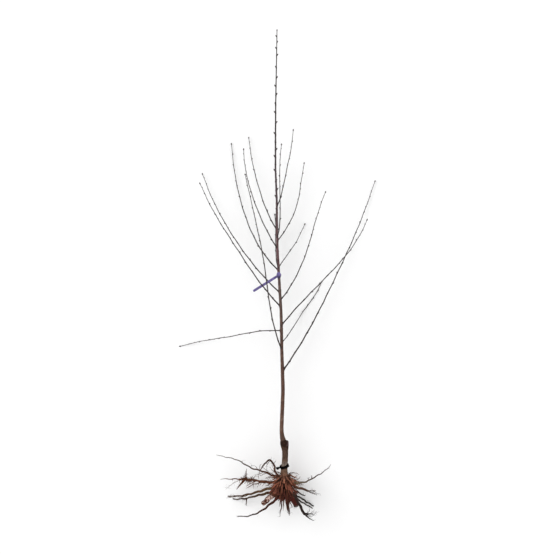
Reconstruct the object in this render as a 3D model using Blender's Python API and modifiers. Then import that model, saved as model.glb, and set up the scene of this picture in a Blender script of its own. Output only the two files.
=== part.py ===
"""A bare-root grafted fruit sapling, lying on the ground as it was lifted from the nursery row.

The stem runs along +Y from its root crown to its leading tip, and +Z is up from the ground.
Side shoots and roots are tapering limbs that follow one rule: each leaves the stem's axis at a
height above the collar, at a turn round the stem and at a lean off the stem's line, and bends
smoothly through its other leans to its tip.  A limb that comes down to the ground lies along it.

Metres and degrees throughout.
"""

import math
import random
from typing import NamedTuple

import bmesh
import bpy
from mathutils import Matrix, Vector


class Limb(NamedTuple):
    """One side shoot or root, in the terms that it grows by."""
    height: float       # of its foot, up the stem from the collar
    turn: float         # round the stem: 0 is +X, 90 is up, 180 is -X, 270 is down to the ground
    leans: tuple        # off the stem's line, at equal steps from foot to tip
    length: float
    radius: float       # at the foot


class Branch(NamedTuple):
    """A fine root that leaves a root on its own way."""
    share: float        # where it leaves, along the root
    turn: float
    leans: tuple        # at its foot and at its tip
    length: float
    radius: float       # at the foot


# The stem: where it stands, and its section from the cut foot of the crown to the tip.
COLLAR_ALONG = -0.815           # where the collar is along Y
AXIS_AT_COLLAR = 0.105          # the axis above the ground, at the collar
AXIS_AT_TIP = 0.085             # and at the tip
STEM_LENGTH = 1.80              # above the collar
STEM_SIDES = 12
STEM = (                        # height, axis across X, radius
    (-0.084, 0.030, 0.0050),
    (-0.076, 0.030, 0.0100),
    (-0.055, 0.030, 0.0155),
    (-0.030, 0.030, 0.0190),
    (-0.008, 0.029, 0.0185),
    (0.012, 0.029, 0.0150),
    (0.032, 0.028, 0.0125),
    (0.072, 0.032, 0.0115),
    (0.112, 0.033, 0.0116),
    (0.128, 0.030, 0.0134),     # the swelling of the graft union
    (0.148, 0.026, 0.0122),
    (0.168, 0.020, 0.0090),
    (0.192, 0.018, 0.0080),
    (0.272, 0.021, 0.0077),
    (0.352, 0.024, 0.0076),
    (0.424, 0.022, 0.0073),
    (0.512, 0.019, 0.0066),
    (0.592, 0.018, 0.0062),
    (0.672, 0.016, 0.0059),
    (0.752, 0.011, 0.0056),
    (0.824, 0.007, 0.0054),
    (0.912, 0.002, 0.0050),
    (0.992, 0.000, 0.0046),
    (1.112, -0.001, 0.0042),
    (1.232, -0.006, 0.0036),
    (1.380, -0.006, 0.0031),
    (1.512, -0.005, 0.0026),
    (1.672, -0.002, 0.0021),
    (STEM_LENGTH - 0.008, 0.000, 0.0016),
)
KNOB_FOOT = 0.108               # the cut end of the rootstock, beside the union
KNOB_LENGTH = 0.043
KNOB_LEAN = 3.0
KNOB_RADIUS = 0.0085            # at its cut
KNOB_SPREAD = 1.35              # its foot against its cut
KNOB_SIDES = 10

# The buds, in a spiral that puts the sixth above the first after two turns.
BUD_LENGTH = 0.0075
BUD_RADIUS = 0.0015
BUD_TURN = 144.0
BUD_SPACING = 0.034             # along the leader
BUD_SIDES = 4
BUD_SMALLEST = 0.55             # a bud's size on the thinnest wood, as a share of full size
BUD_FULL_AT = 0.009             # the limb radius, scaled, at which that share has grown to one
BUD_SINK = 0.6                  # where its foot sits, as a share of the limb's radius
BUD_SPLAY = 0.28                # how far it leans off its limb, for each unit along
TIP_BUD_GIRTH = 1.35            # a tip's bud against the limb it ends
TIP_BUD_SIDES = 6
LEADER_START = 1.10             # the stem above here carries buds instead of shoots

# The side shoots, from the top down.
SHOOTS = {
    "shoot_right_1": Limb(1.084, 60, (40, 23, 23, 8), 0.325, 0.0021),
    "shoot_left_1": Limb(0.992, 215, (36, 23, 16, 7), 0.405, 0.0023),
    "shoot_front_1": Limb(0.962, 76, (52, 6, -4, 4, 26), 0.385, 0.0022),
    "shoot_right_2": Limb(0.948, -28, (41, 28, 10, 12), 0.345, 0.0020),
    "shoot_left_2": Limb(0.918, 140, (40, 30, 20, 4), 0.430, 0.0023),
    "shoot_right_3": Limb(0.842, -40, (38, 44, 36, 28), 0.225, 0.0018),
    "shoot_left_3": Limb(0.830, 205, (48, 27, 14, 5), 0.570, 0.0026),
    "shoot_back_1": Limb(0.820, 262, (30, 20, 24, 28), 0.260, 0.0018),
    "shoot_front_2": Limb(0.836, 104, (54, 10, -4, -4), 0.255, 0.0019),
    "shoot_left_4": Limb(0.742, 195, (48, 38, 30, 20), 0.585, 0.0026),
    "shoot_right_4": Limb(0.712, 52, (52, 37, 24, 32), 0.510, 0.0024),
    "shoot_left_5": Limb(0.685, 165, (44, 35, 33, 24), 0.590, 0.0026),
    "shoot_right_5": Limb(0.612, 20, (41, 46, 42, 25), 0.550, 0.0026),
    "shoot_left_6": Limb(0.590, 194, (88, 101, 99, 106), 0.430, 0.0021),
    "shoot_right_6": Limb(0.541, -48, (52, 44, 48, 35), 0.345, 0.0018),
    "shoot_left_7": Limb(0.514, 125, (33, 13, 20, 22), 0.730, 0.0027),
    "shoot_right_7": Limb(0.428, -14, (36, 28, 25, 19), 0.860, 0.0030),
}
SHOOT_TIP_RADIUS = 0.0010
SHOOT_TAPER = 0.8               # the power of what is left of its length that its girth follows
SHOOT_STEP = 0.045
SHOOT_KINK = 1.5                # a shoot bends this much at each bud, to and fro
LIMB_SIDES = 6

# The roots, from the top down: those that spread to each side, then those on the
# upper side, then the ones that it lies on.
ROOTS = {
    "root_left_1": Limb(-0.002, 165, (75, 65, 73, 57, 76, 78), 0.300, 0.0044),
    "root_left_2": Limb(0.006, 139, (88, 55, 12, 58, 132, 126), 0.178, 0.0036),
    "root_left_3": Limb(-0.020, 188, (86, 84, 89, 93), 0.265, 0.0068),
    "root_left_4": Limb(-0.026, 218, (80, 92, 104, 122), 0.200, 0.0040),
    "root_left_5": Limb(-0.031, 188, (92, 108, 103, 90), 0.240, 0.0074),
    "root_left_6": Limb(-0.046, 209, (102, 104, 106, 90), 0.246, 0.0072),
    "root_left_7": Limb(-0.054, 178, (130, 129, 125, 104, 84), 0.222, 0.0066),
    "root_left_8": Limb(-0.042, 146, (102, 112, 122, 124), 0.118, 0.0114),
    "root_right_1": Limb(0.000, 28, (112, 90, 62, 58, 42), 0.238, 0.0050),
    "root_right_2": Limb(-0.011, 12, (108, 115, 106, 106), 0.106, 0.0060),
    "root_right_3": Limb(-0.019, -25, (124, 125, 118, 118), 0.110, 0.0050),
    "root_right_4": Limb(-0.008, 57, (126, 120, 101, 99), 0.222, 0.0048),
    "root_right_5": Limb(-0.025, -60, (126, 122, 108, 108), 0.250, 0.0054),
    "root_right_6": Limb(-0.034, 2, (136, 150, 156), 0.098, 0.0125),
    "root_right_7": Limb(-0.015, 33, (126, 146, 145), 0.156, 0.0066),
    "root_low_1": Limb(-0.062, 222, (118, 178, 168, 173), 0.100, 0.0036),
    "root_low_2": Limb(-0.060, 66, (130, 168, 150, 159), 0.085, 0.0040),
    "root_low_3": Limb(-0.066, -30, (115, 172, 171, 175), 0.092, 0.0044),
    "root_upper_1": Limb(-0.010, 105, (110, 140, 150, 160), 0.120, 0.0058),
    "root_upper_2": Limb(-0.014, 78, (110, 140, 155, 150), 0.110, 0.0050),
    "root_upper_3": Limb(-0.044, 98, (125, 150, 165, 170), 0.090, 0.0046),
    "root_under_1": Limb(-0.004, 240, (95, 105, 112, 100), 0.160, 0.0056),
    "root_under_2": Limb(-0.030, 262, (100, 110, 120, 125), 0.150, 0.0060),
    "root_under_3": Limb(-0.004, 300, (95, 100, 110, 105), 0.165, 0.0056),
    "root_under_4": Limb(-0.050, 288, (115, 125, 135, 130), 0.135, 0.0046),
}
CUT_ROOTS = {                   # severed or broken off thick: radius there
    "root_left_5": 0.0022, "root_left_6": 0.0020, "root_left_7": 0.0016, "root_left_8": 0.0098,
    "root_right_2": 0.0042, "root_right_3": 0.0020, "root_right_4": 0.0022, "root_right_5": 0.0022,
    "root_right_6": 0.0100, "root_right_7": 0.0052,
}
ROOT_TIP_RADIUS = 0.0011
ROOT_TAPER = 1.2
ROOT_STEP = 0.020
ROOT_KINK = 7.0                 # a root wanders this much at each step
# The roots that kept their rootlets when they were lifted.
ROOTLET_ROOTS = ("root_left_2", "root_left_3", "root_left_4", "root_under_1", "root_under_2", "root_under_3",
                 "root_under_4")
ROOTLET_START = 0.35            # the share of its root that is bare of rootlets
ROOTLET_REACH = 0.95            # and the share past which there are none
ROOTLET_SPACING = 0.030
ROOTLET_LENGTH = (0.023, 0.046)
ROOTLET_RADII = (0.0011, 0.0010, 0.0008, 0.0007)
ROOTLET_PULL = (0.3, 0.65, 1.0)     # how far each of its steps turns along the root
ROOTLET_SIDES = 4
ROOTLET_CLEARANCE = 0.0015
TEST_SPACING = 0.004            # of the points that clearances are tested from
FIBRE_ROOT = "root_left_3"      # carries a tuft of fibres
FIBRE_START = 0.52              # the share of its length where the tuft starts
FIBRE_STEP = 0.012
FIBRE_COUNT = 8

# Branches, fused to their roots.
BRANCHES = {
    "root_left_1": (Branch(0.10, 150, (62, 76), 0.052, 0.0019), Branch(0.06, 172, (80, 96), 0.060, 0.0022)),
    "root_left_3": (Branch(0.59, 150, (5, -8), 0.042, 0.0018), Branch(0.61, 190, (138, 143), 0.054, 0.0052),
                    Branch(0.42, 192, (112, 124), 0.050, 0.0020)),
    "root_left_5": (Branch(0.62, 180, (120, 98), 0.044, 0.0020),),
    "root_left_6": (Branch(0.73, 180, (172, 180), 0.030, 0.0028),),
    "root_right_1": (Branch(0.54, 30, (18, -14), 0.015, 0.0014),),
    "root_right_2": (Branch(0.98, 12, (72, 98), 0.030, 0.0016), Branch(0.98, 12, (128, 86), 0.040, 0.0015)),
    "root_right_7": (Branch(0.97, 10, (92, 88), 0.036, 0.0032), Branch(0.98, 22, (136, 104), 0.048, 0.0036)),
}
BRANCH_TIP_RADIUS = 0.0008
BRANCH_STEPS = 5

# The crown's own short roots, fused to it: a fan that spreads round the foot of the stem.
FAN_COUNT = 20
FAN_FIRST_TURN = 90.0
FAN_TURN = 137.5                # from one to the next, round the stem
FAN_HEIGHTS = (0.006, -0.052)   # of the feet, from the first to the last
FAN_LEANS = (106.0, 172.0)
FAN_BEND = 10.0                 # each bends this much, down along the stem's line
FAN_LENGTHS = (0.056, 0.082, 0.076, 0.048)      # at equal steps from the first to the last
FAN_RADIUS = 0.0062
FAN_TIP_RADIUS = 0.0026
FAN_KINK = 4.0
FAN_TAPER = 0.9

# The plastic label, looped round the stem, with its tail lying out to -X.
LABEL_HEIGHT = 0.811
LABEL_WIDTH = 0.010
LABEL_STRAP_WIDTH = 0.0085
LABEL_TILT = 26.0               # of the strap, towards the tail
LABEL_THICKNESS = 0.0007
LABEL_TAIL = 0.118
LABEL_LEAN = 122.0              # of the tail, off the stem's line
LABEL_SAG = 0.010               # of the tail's end, in a curve of this power
LABEL_SAG_POWER = 1.5
LABEL_STEPS = 8
LABEL_SIDES = 20
TAIL_START_TURN = 111.0         # where on the strap the tail starts, round the stem

# The tie that held the tree to its neighbour, round the rootstock.
TIE_HEIGHT = 0.049
TIE_RADIUS = 0.0019             # of the band's own section, across its thickness
TIE_BREADTH = 2.2               # its breadth along the stem, against its thickness
TIE_TILT = 16.0                 # its right side up the stem
TIE_DIP = 13.0                  # its near side down the stem
TIE_SLACK = 0.75                # how much of the room that its tilted breadth needs is given to it
TIE_TAIL = 0.018
TIE_TAIL_RADIUS = 0.0040
TIE_TAIL_LEAN = 108.0
TIE_TAIL_TURN = 165.0
TIE_SEGMENTS = 20

CLEARANCE = 0.0003              # between solids that touch
GROUND_GAP = 0.0004             # under a limb that lies on the ground
WELD_DISTANCE = 0.00001
CREASE_ANGLE = 50.0

BARK_COLOR = (0.105, 0.062, 0.050, 1.0)
SHOOT_COLOR = (0.060, 0.036, 0.038, 1.0)
ROOT_COLOR = (0.090, 0.040, 0.026, 1.0)
LABEL_COLOR = (0.165, 0.125, 0.360, 1.0)
TIE_COLOR = (0.010, 0.007, 0.005, 1.0)


# --- scene and materials ---

def clear_scene():
    for thing in list(bpy.data.objects):
        bpy.data.objects.remove(thing, do_unlink=True)


def new_collection(name):
    collection = bpy.data.collections.new(name)
    bpy.context.scene.collection.children.link(collection)
    return collection


def make_material(name, color, roughness):
    material = bpy.data.materials.new(name)
    material.use_nodes = True
    shader = material.node_tree.nodes["Principled BSDF"]
    shader.inputs["Base Color"].default_value = color
    shader.inputs["Roughness"].default_value = roughness
    shader.inputs["Metallic"].default_value = 0.0
    material.diffuse_color = color
    return material


# --- where things are ---

def between(rows, height, column):
    """The value in a column of the stem's rows at a height, in straight lines between rows."""
    for low, high in zip(rows, rows[1:]):
        if height <= high[0]:
            share = max(0.0, (height - low[0]) / (high[0] - low[0]))
            return low[column] + (high[column] - low[column]) * share
    return rows[-1][column]


def axis_point(height):
    """The stem's axis in world coordinates, at a height above the collar."""
    drop = AXIS_AT_COLLAR + (AXIS_AT_TIP - AXIS_AT_COLLAR) * height / STEM_LENGTH
    return Vector((between(STEM, height, 1), COLLAR_ALONG + height, drop))


def heading(lean, turn):
    """A unit vector that leans off the stem's line, at a turn round it."""
    lean = math.radians(lean)
    turn = math.radians(turn)
    return Vector((math.sin(lean) * math.cos(turn), math.cos(lean), math.sin(lean) * math.sin(turn)))


def smooth_between(values, share):
    """A smooth curve through values at equal steps, read at a share of the way along."""
    place = min(max(share, 0.0), 0.9999) * (len(values) - 1)
    index = int(place)
    part = place - index
    before = values[max(index - 1, 0)]
    start = values[index]
    end = values[index + 1]
    after = values[min(index + 2, len(values) - 1)]
    bend = 2 * before - 5 * start + 4 * end - after
    twist = 3 * start - before - 3 * end + after
    return 0.5 * (2 * start + (end - before) * part + bend * part ** 2 + twist * part ** 3)


def limb_path(limb, step, kink, taper, tip_radius, dice):
    """Points and radii along a limb, from the stem's axis to its tip, never below the ground."""
    count = max(4, round(limb.length / step))
    point = axis_point(limb.height)
    points = [point.copy()]
    radii = [limb.radius]
    side = 1
    for number in range(count):
        share = (number + 0.5) / count
        lean = smooth_between(limb.leans, share) + side * kink
        turn = limb.turn + dice.uniform(-kink, kink)
        side = -side
        point = point + heading(lean, turn) * (limb.length / count)
        left = 1.0 - (number + 1) / count
        radius = tip_radius + (limb.radius - tip_radius) * left ** taper
        point.z = max(point.z, radius + GROUND_GAP)
        points.append(point.copy())
        radii.append(radius)
    return points, radii


# --- solids ---

def tube(name, points, radii, sides):
    """A closed tube through the points, as a mesh object."""
    curve = bpy.data.curves.new(name, "CURVE")
    curve.dimensions = "3D"
    curve.bevel_depth = 1.0
    curve.bevel_resolution = sides // 2 - 2
    curve.use_fill_caps = True
    spline = curve.splines.new("POLY")
    spline.points.add(len(points) - 1)
    for knot, point, radius in zip(spline.points, points, radii):
        knot.co = (*point, 1.0)
        knot.radius = radius
    guide = bpy.data.objects.new(name + "_guide", curve)
    bpy.context.scene.collection.objects.link(guide)
    bpy.context.view_layer.update()
    depsgraph = bpy.context.evaluated_depsgraph_get()
    mesh = bpy.data.meshes.new_from_object(guide.evaluated_get(depsgraph))
    bpy.data.objects.remove(guide, do_unlink=True)
    return closed_object(name, mesh)


def closed_object(name, mesh):
    """An object of the mesh, with its seams welded and its faces turned outward."""
    shape = bmesh.new()
    shape.from_mesh(mesh)
    bmesh.ops.remove_doubles(shape, verts=shape.verts, dist=WELD_DISTANCE)
    bmesh.ops.recalc_face_normals(shape, faces=shape.faces)
    shape.to_mesh(mesh)
    shape.free()
    mesh.materials.clear()
    thing = bpy.data.objects.new(name, mesh)
    bpy.context.scene.collection.objects.link(thing)
    return thing


def cone(name, foot, direction, length, radius, tip_radius, sides):
    """A closed cone or stub from its foot along a direction."""
    shape = bmesh.new()
    turn = direction.to_track_quat("Z", "Y").to_matrix().to_4x4()
    place = Matrix.Translation(foot + direction * (length / 2)) @ turn
    bmesh.ops.create_cone(shape, cap_ends=True, segments=sides, radius1=radius, radius2=tip_radius,
                          depth=length, matrix=place)
    mesh = bpy.data.meshes.new(name)
    shape.to_mesh(mesh)
    shape.free()
    return closed_object(name, mesh)


def finished(name, mesh, material, collection):
    """The final object of a node, in the model's collection."""
    mesh.materials.clear()
    mesh.materials.append(material)
    mesh.shade_smooth()
    mesh.set_sharp_from_angle(angle=math.radians(CREASE_ANGLE))
    thing = bpy.data.objects.new(name, mesh)
    collection.objects.link(thing)
    return thing


def drop_scraps(mesh):
    """Leaves only the largest of the mesh's separate shells."""
    shape = bmesh.new()
    shape.from_mesh(mesh)
    unseen = set(shape.verts)
    shells = []
    while unseen:
        shell = {unseen.pop()}
        edge = list(shell)
        while edge:
            vertex = edge.pop()
            for link in vertex.link_edges:
                other = link.other_vert(vertex)
                if other in unseen:
                    unseen.remove(other)
                    shell.add(other)
                    edge.append(other)
        shells.append(shell)
    shells.sort(key=len)
    for shell in shells[:-1]:
        bmesh.ops.delete(shape, geom=list(shell), context="VERTS")
    shape.to_mesh(mesh)
    shape.free()


def fused(name, pieces, material, collection, cutter=None):
    """One solid of all the pieces, less the cutter and any scrap that it cuts off."""
    body = pieces[0]
    added = new_collection(name + "_added")
    for piece in pieces[1:]:
        piece.users_collection[0].objects.unlink(piece)
        added.objects.link(piece)
    if pieces[1:]:
        union = body.modifiers.new("union", "BOOLEAN")
        union.operation = "UNION"
        union.operand_type = "COLLECTION"
        union.collection = added
        union.solver = "EXACT"
    if cutter:
        cut = body.modifiers.new("cut", "BOOLEAN")
        cut.operation = "DIFFERENCE"
        cut.object = cutter
        cut.solver = "EXACT"
    bpy.context.view_layer.update()
    depsgraph = bpy.context.evaluated_depsgraph_get()
    mesh = bpy.data.meshes.new_from_object(body.evaluated_get(depsgraph))
    mesh.transform(body.matrix_world)
    if cutter:
        drop_scraps(mesh)
    for piece in pieces:
        bpy.data.objects.remove(piece, do_unlink=True)
    bpy.data.collections.remove(added)
    return finished(name, mesh, material, collection)


# --- sub-parts ---

def bud(name, point, along, outward, limb_radius):
    """A pointed bud that lies along its limb and stands off it a little."""
    size = min(1.0, BUD_SMALLEST + limb_radius / BUD_FULL_AT)
    foot = point + outward * (limb_radius * BUD_SINK)
    direction = (along + outward * BUD_SPLAY).normalized()
    return cone(name, foot, direction, BUD_LENGTH * size, BUD_RADIUS * size, 0.0, BUD_SIDES)


def terminal_bud(name, points, radii):
    along = (points[-1] - points[-2]).normalized()
    foot = points[-1] - along * BUD_RADIUS
    return cone(name, foot, along, BUD_LENGTH, radii[-1] * TIP_BUD_GIRTH, 0.0, TIP_BUD_SIDES)


def fan_limbs():
    """The crown's own short roots, from those that spread sideways to those that point down the line."""
    for number in range(FAN_COUNT):
        share = (number + 0.5) / FAN_COUNT
        height = FAN_HEIGHTS[0] + (FAN_HEIGHTS[1] - FAN_HEIGHTS[0]) * share
        lean = FAN_LEANS[0] + (FAN_LEANS[1] - FAN_LEANS[0]) * share
        turn = FAN_FIRST_TURN + FAN_TURN * number
        length = smooth_between(FAN_LENGTHS, share)
        yield Limb(height, turn, (lean - FAN_BEND, lean, lean + FAN_BEND / 2), length, FAN_RADIUS)


def fan_pieces(grow):
    """The fan's tubes; grow makes them thicker all over."""
    pieces = []
    for number, limb in enumerate(fan_limbs()):
        dice = random.Random(f"fan {number}")
        points, radii = limb_path(limb, ROOT_STEP, FAN_KINK, FAN_TAPER, FAN_TIP_RADIUS, dice)
        along = (points[-1] - points[-2]).normalized()
        points[-1] += along * grow
        pieces.append(tube(f"fan_{number}", points, [radius + grow for radius in radii], LIMB_SIDES))
    return pieces


def stem_pieces(grow):
    """The stem from crown to tip, with the rootstock's cut knob; grow makes it thicker all over."""
    heights = [row[0] for row in STEM]
    points = [axis_point(height) for height in heights]
    radii = [row[2] + grow for row in STEM]
    points[0] -= Vector((0.0, grow, 0.0))
    stem = tube("stem_body", points, radii, STEM_SIDES)
    knob = cone("stem_knob", axis_point(KNOB_FOOT), heading(KNOB_LEAN, 0), KNOB_LENGTH + grow,
                KNOB_RADIUS * KNOB_SPREAD + grow, KNOB_RADIUS + grow, KNOB_SIDES)
    return [stem, knob] + fan_pieces(grow)


def leader_buds():
    pieces = []
    count = int((STEM_LENGTH - LEADER_START) / BUD_SPACING)
    for number in range(count):
        height = LEADER_START + number * BUD_SPACING
        radius = between(STEM, height, 2)
        outward = heading(90, BUD_TURN * number)
        pieces.append(bud(f"leader_bud_{number}", axis_point(height), Vector((0, 1, 0)), outward, radius))
    tip = [axis_point(row[0]) for row in STEM[-2:]]
    pieces.append(terminal_bud("leader_tip", tip, [row[2] for row in STEM[-2:]]))
    return pieces


def make_stem(material, collection):
    fused("stem", stem_pieces(0.0) + leader_buds(), material, collection)


def stem_cutter(material, collection):
    """The stem grown by the clearance: what shoots and roots are cut back to."""
    cutter = fused("stem_cutter", stem_pieces(CLEARANCE), material, collection)
    cutter.hide_render = True
    cutter.display_type = "WIRE"
    return cutter


def make_shoot(name, limb, cutter, material, collection):
    """A side shoot: one tapering whip with a bud at every step of its spiral and one at its tip."""
    dice = random.Random(name)
    points, radii = limb_path(limb, SHOOT_STEP, SHOOT_KINK, SHOOT_TAPER, SHOOT_TIP_RADIUS, dice)
    pieces = [tube(name + "_body", points, radii, LIMB_SIDES)]
    turn = dice.uniform(0, 360)
    for number in range(1, len(points) - 1):
        along = (points[number + 1] - points[number - 1]).normalized()
        across = along.orthogonal().normalized()
        outward = Matrix.Rotation(math.radians(turn + BUD_TURN * number), 3, along) @ across
        if points[number].z < BUD_LENGTH and outward.z < 0:
            outward = -outward
        pieces.append(bud(f"{name}_bud_{number}", points[number], along, outward, radii[number]))
    pieces.append(terminal_bud(name + "_tip", points, radii))
    fused(name, pieces, material, collection, cutter)


def near(points, radii, placed, own_name):
    """True if a rootlet would come too near another node's limb."""
    for name, others, other_radii in placed:
        if name == own_name:
            continue
        for other, other_radius in zip(others, other_radii):
            for point, radius in zip(points, radii):
                if (point - other).length < radius + other_radius + ROOTLET_CLEARANCE:
                    return True
    return False


def dense(points, radii):
    """The same limb with more points, close enough together to test distances from."""
    more = []
    widths = []
    for start, end, wide, narrow in zip(points, points[1:], radii, radii[1:]):
        count = max(1, math.ceil((end - start).length / TEST_SPACING))
        for number in range(count):
            more.append(start.lerp(end, number / count))
            widths.append(wide + (narrow - wide) * number / count)
    return more + [points[-1]], widths + [radii[-1]]


def rootlet_path(start, along, dice):
    """A fine root that leaves its parent sideways and bends down along it."""
    across = along.orthogonal().normalized()
    outward = Matrix.Rotation(dice.uniform(0, 2 * math.pi), 3, along) @ across
    step = dice.uniform(*ROOTLET_LENGTH) / len(ROOTLET_PULL)
    points = [start.copy()]
    for pull, radius in zip(ROOTLET_PULL, ROOTLET_RADII[1:]):
        point = points[-1] + (outward + along * pull).normalized() * step
        point.z = max(point.z, radius + GROUND_GAP)
        points.append(point)
    return points, ROOTLET_RADII


def place_along(points, share):
    """The point at a share of the way along a path, and the way that the path runs there."""
    place = share * (len(points) - 1)
    index = int(place)
    along = (points[index + 1] - points[index]).normalized()
    return points[index].lerp(points[index + 1], place - index), along


def branch_path(root_points, branch):
    """Points and radii along a branch, from inside its root to its tip."""
    points = [place_along(root_points, branch.share)[0]]
    radii = [branch.radius]
    for number in range(BRANCH_STEPS):
        lean = branch.leans[0] + (branch.leans[1] - branch.leans[0]) * (number + 0.5) / BRANCH_STEPS
        point = points[-1] + heading(lean, branch.turn) * (branch.length / BRANCH_STEPS)
        left = 1.0 - (number + 1) / BRANCH_STEPS
        radius = BRANCH_TIP_RADIUS + (branch.radius - BRANCH_TIP_RADIUS) * left
        point.z = max(point.z, radius + GROUND_GAP)
        points.append(point)
        radii.append(radius)
    return points, radii


def rootlet_starts(name, length):
    """The shares of a root's length where its rootlets leave it."""
    if name not in ROOTLET_ROOTS:
        return []
    count = int(length * (ROOTLET_REACH - ROOTLET_START) / ROOTLET_SPACING)
    starts = [ROOTLET_START + ROOTLET_SPACING / length * number for number in range(count)]
    if name == FIBRE_ROOT:
        starts += [FIBRE_START + FIBRE_STEP * number for number in range(FIBRE_COUNT)]
    return starts


def make_root(name, limb, path, cutter, material, collection, placed):
    """A root with its branches, and its rootlets, each left out where it would touch another limb."""
    dice = random.Random(name + " rootlets")
    points, radii = path
    pieces = [tube(name + "_body", points, radii, LIMB_SIDES)]
    for number, branch in enumerate(BRANCHES.get(name, ())):
        pieces.append(tube(f"{name}_branch_{number}", *branch_path(points, branch), LIMB_SIDES))
    for number, share in enumerate(rootlet_starts(name, limb.length)):
        start, along = place_along(points, share)
        fine_points, fine_radii = rootlet_path(start, along, dice)
        tested = dense(fine_points[1:], fine_radii[1:])
        if near(*tested, placed, name):
            continue
        pieces.append(tube(f"{name}_rootlet_{number}", fine_points, fine_radii, ROOTLET_SIDES))
        placed.append((name, *tested))
    fused(name, pieces, material, collection, cutter)


def strap_cylinder(radius, depth):
    """A cylinder round the stem, where the label's strap is."""
    turned = (math.radians(90), 0, math.radians(LABEL_TILT))
    bpy.ops.mesh.primitive_cylinder_add(vertices=LABEL_SIDES, radius=radius, depth=depth,
                                        location=axis_point(LABEL_HEIGHT), rotation=turned)
    return bpy.context.object


def label_tail(start):
    """The label's flat tail, which narrows into the strap at its start and sags to its end."""
    bpy.ops.mesh.primitive_grid_add(x_subdivisions=LABEL_STEPS, y_subdivisions=1, size=1.0)
    tail = bpy.context.object
    direction = heading(LABEL_LEAN, 180)
    across = direction.cross(Vector((0.0, 0.0, 1.0)))
    for vertex in tail.data.vertices:
        share = vertex.co.x + 0.5
        width = LABEL_WIDTH if share > 1 / LABEL_STEPS / 2 else LABEL_STRAP_WIDTH
        sag = Vector((0.0, 0.0, LABEL_SAG * share ** LABEL_SAG_POWER))
        vertex.co = start + direction * (LABEL_TAIL * share) + across * (vertex.co.y * width) - sag
    solid = tail.modifiers.new("thickness", "SOLIDIFY")
    solid.thickness = LABEL_THICKNESS
    solid.offset = 0.0
    return tail


def make_label(material, collection):
    """A strap that closes round the stem, and the tail that lies out from it."""
    tilt = math.radians(LABEL_TILT)
    inner = between(STEM, LABEL_HEIGHT, 2) / math.cos(tilt) + LABEL_STRAP_WIDTH / 2 * math.tan(tilt)
    inner += 2 * CLEARANCE
    strap = strap_cylinder(inner + LABEL_THICKNESS, LABEL_STRAP_WIDTH)
    bore = strap_cylinder(inner, 2 * LABEL_STRAP_WIDTH)
    across = Vector((math.cos(tilt), math.sin(tilt), 0.0))
    turn = math.radians(TAIL_START_TURN)
    outward = across * math.cos(turn) + Vector((0.0, 0.0, 1.0)) * math.sin(turn)
    start = axis_point(LABEL_HEIGHT) + outward * (inner + LABEL_THICKNESS / 2)
    fused("label", [strap, label_tail(start)], material, collection, bore)
    bpy.data.objects.remove(bore, do_unlink=True)


def make_tie(material, collection):
    """A band round the rootstock, tilted, with the stub of its knot."""
    middle = axis_point(TIE_HEIGHT)
    tilt = math.radians(TIE_TILT)
    dip = math.radians(TIE_DIP)
    ring_radius = (between(STEM, TIE_HEIGHT, 2) + 2 * CLEARANCE + TIE_RADIUS) / math.cos(tilt) / math.cos(dip)
    ring_radius += TIE_RADIUS * (TIE_BREADTH - 1) * (math.tan(tilt) + math.tan(dip)) * TIE_SLACK
    bpy.ops.mesh.primitive_torus_add(major_radius=ring_radius, minor_radius=TIE_RADIUS,
                                     major_segments=TIE_SEGMENTS, minor_segments=LIMB_SIDES,
                                     location=middle, rotation=(math.radians(90) + dip, 0, tilt))
    ring = bpy.context.object
    ring.scale.z = TIE_BREADTH
    foot = middle - Vector((math.cos(tilt), math.sin(tilt), 0.0)) * ring_radius
    tail = cone("tie_tail", foot, heading(TIE_TAIL_LEAN, TIE_TAIL_TURN), TIE_TAIL, TIE_TAIL_RADIUS,
                TIE_TAIL_RADIUS, LIMB_SIDES)
    fused("tie", [ring, tail], material, collection)


def main():
    clear_scene()
    model = new_collection("bare_root_sapling")
    cutters = new_collection("cutters")
    bark = make_material("stem_bark", BARK_COLOR, 0.8)
    shoot_bark = make_material("shoot_bark", SHOOT_COLOR, 0.6)
    root_bark = make_material("root_bark", ROOT_COLOR, 0.9)
    make_stem(bark, model)
    cutter = stem_cutter(bark, cutters)
    for name, limb in SHOOTS.items():
        make_shoot(name, limb, cutter, shoot_bark, model)
    paths = {}
    placed = []
    for name, limb in ROOTS.items():
        tip_radius = CUT_ROOTS.get(name, ROOT_TIP_RADIUS)
        dice = random.Random(name)
        paths[name] = limb_path(limb, ROOT_STEP, ROOT_KINK, ROOT_TAPER, tip_radius, dice)
        placed.append((name, *dense(*paths[name])))
        for branch in BRANCHES.get(name, ()):
            placed.append((name, *dense(*branch_path(paths[name][0], branch))))
    for name, limb in ROOTS.items():
        make_root(name, limb, paths[name], cutter, root_bark, model, placed)
    make_label(make_material("label_plastic", LABEL_COLOR, 0.45), model)
    make_tie(make_material("tie_rubber", TIE_COLOR, 0.6), model)
    bpy.data.objects.remove(cutter, do_unlink=True)


main()
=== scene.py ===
import math
import random
from functools import partial

import bpy
from mathutils import Matrix, Vector, bvhtree, kdtree, noise


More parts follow.
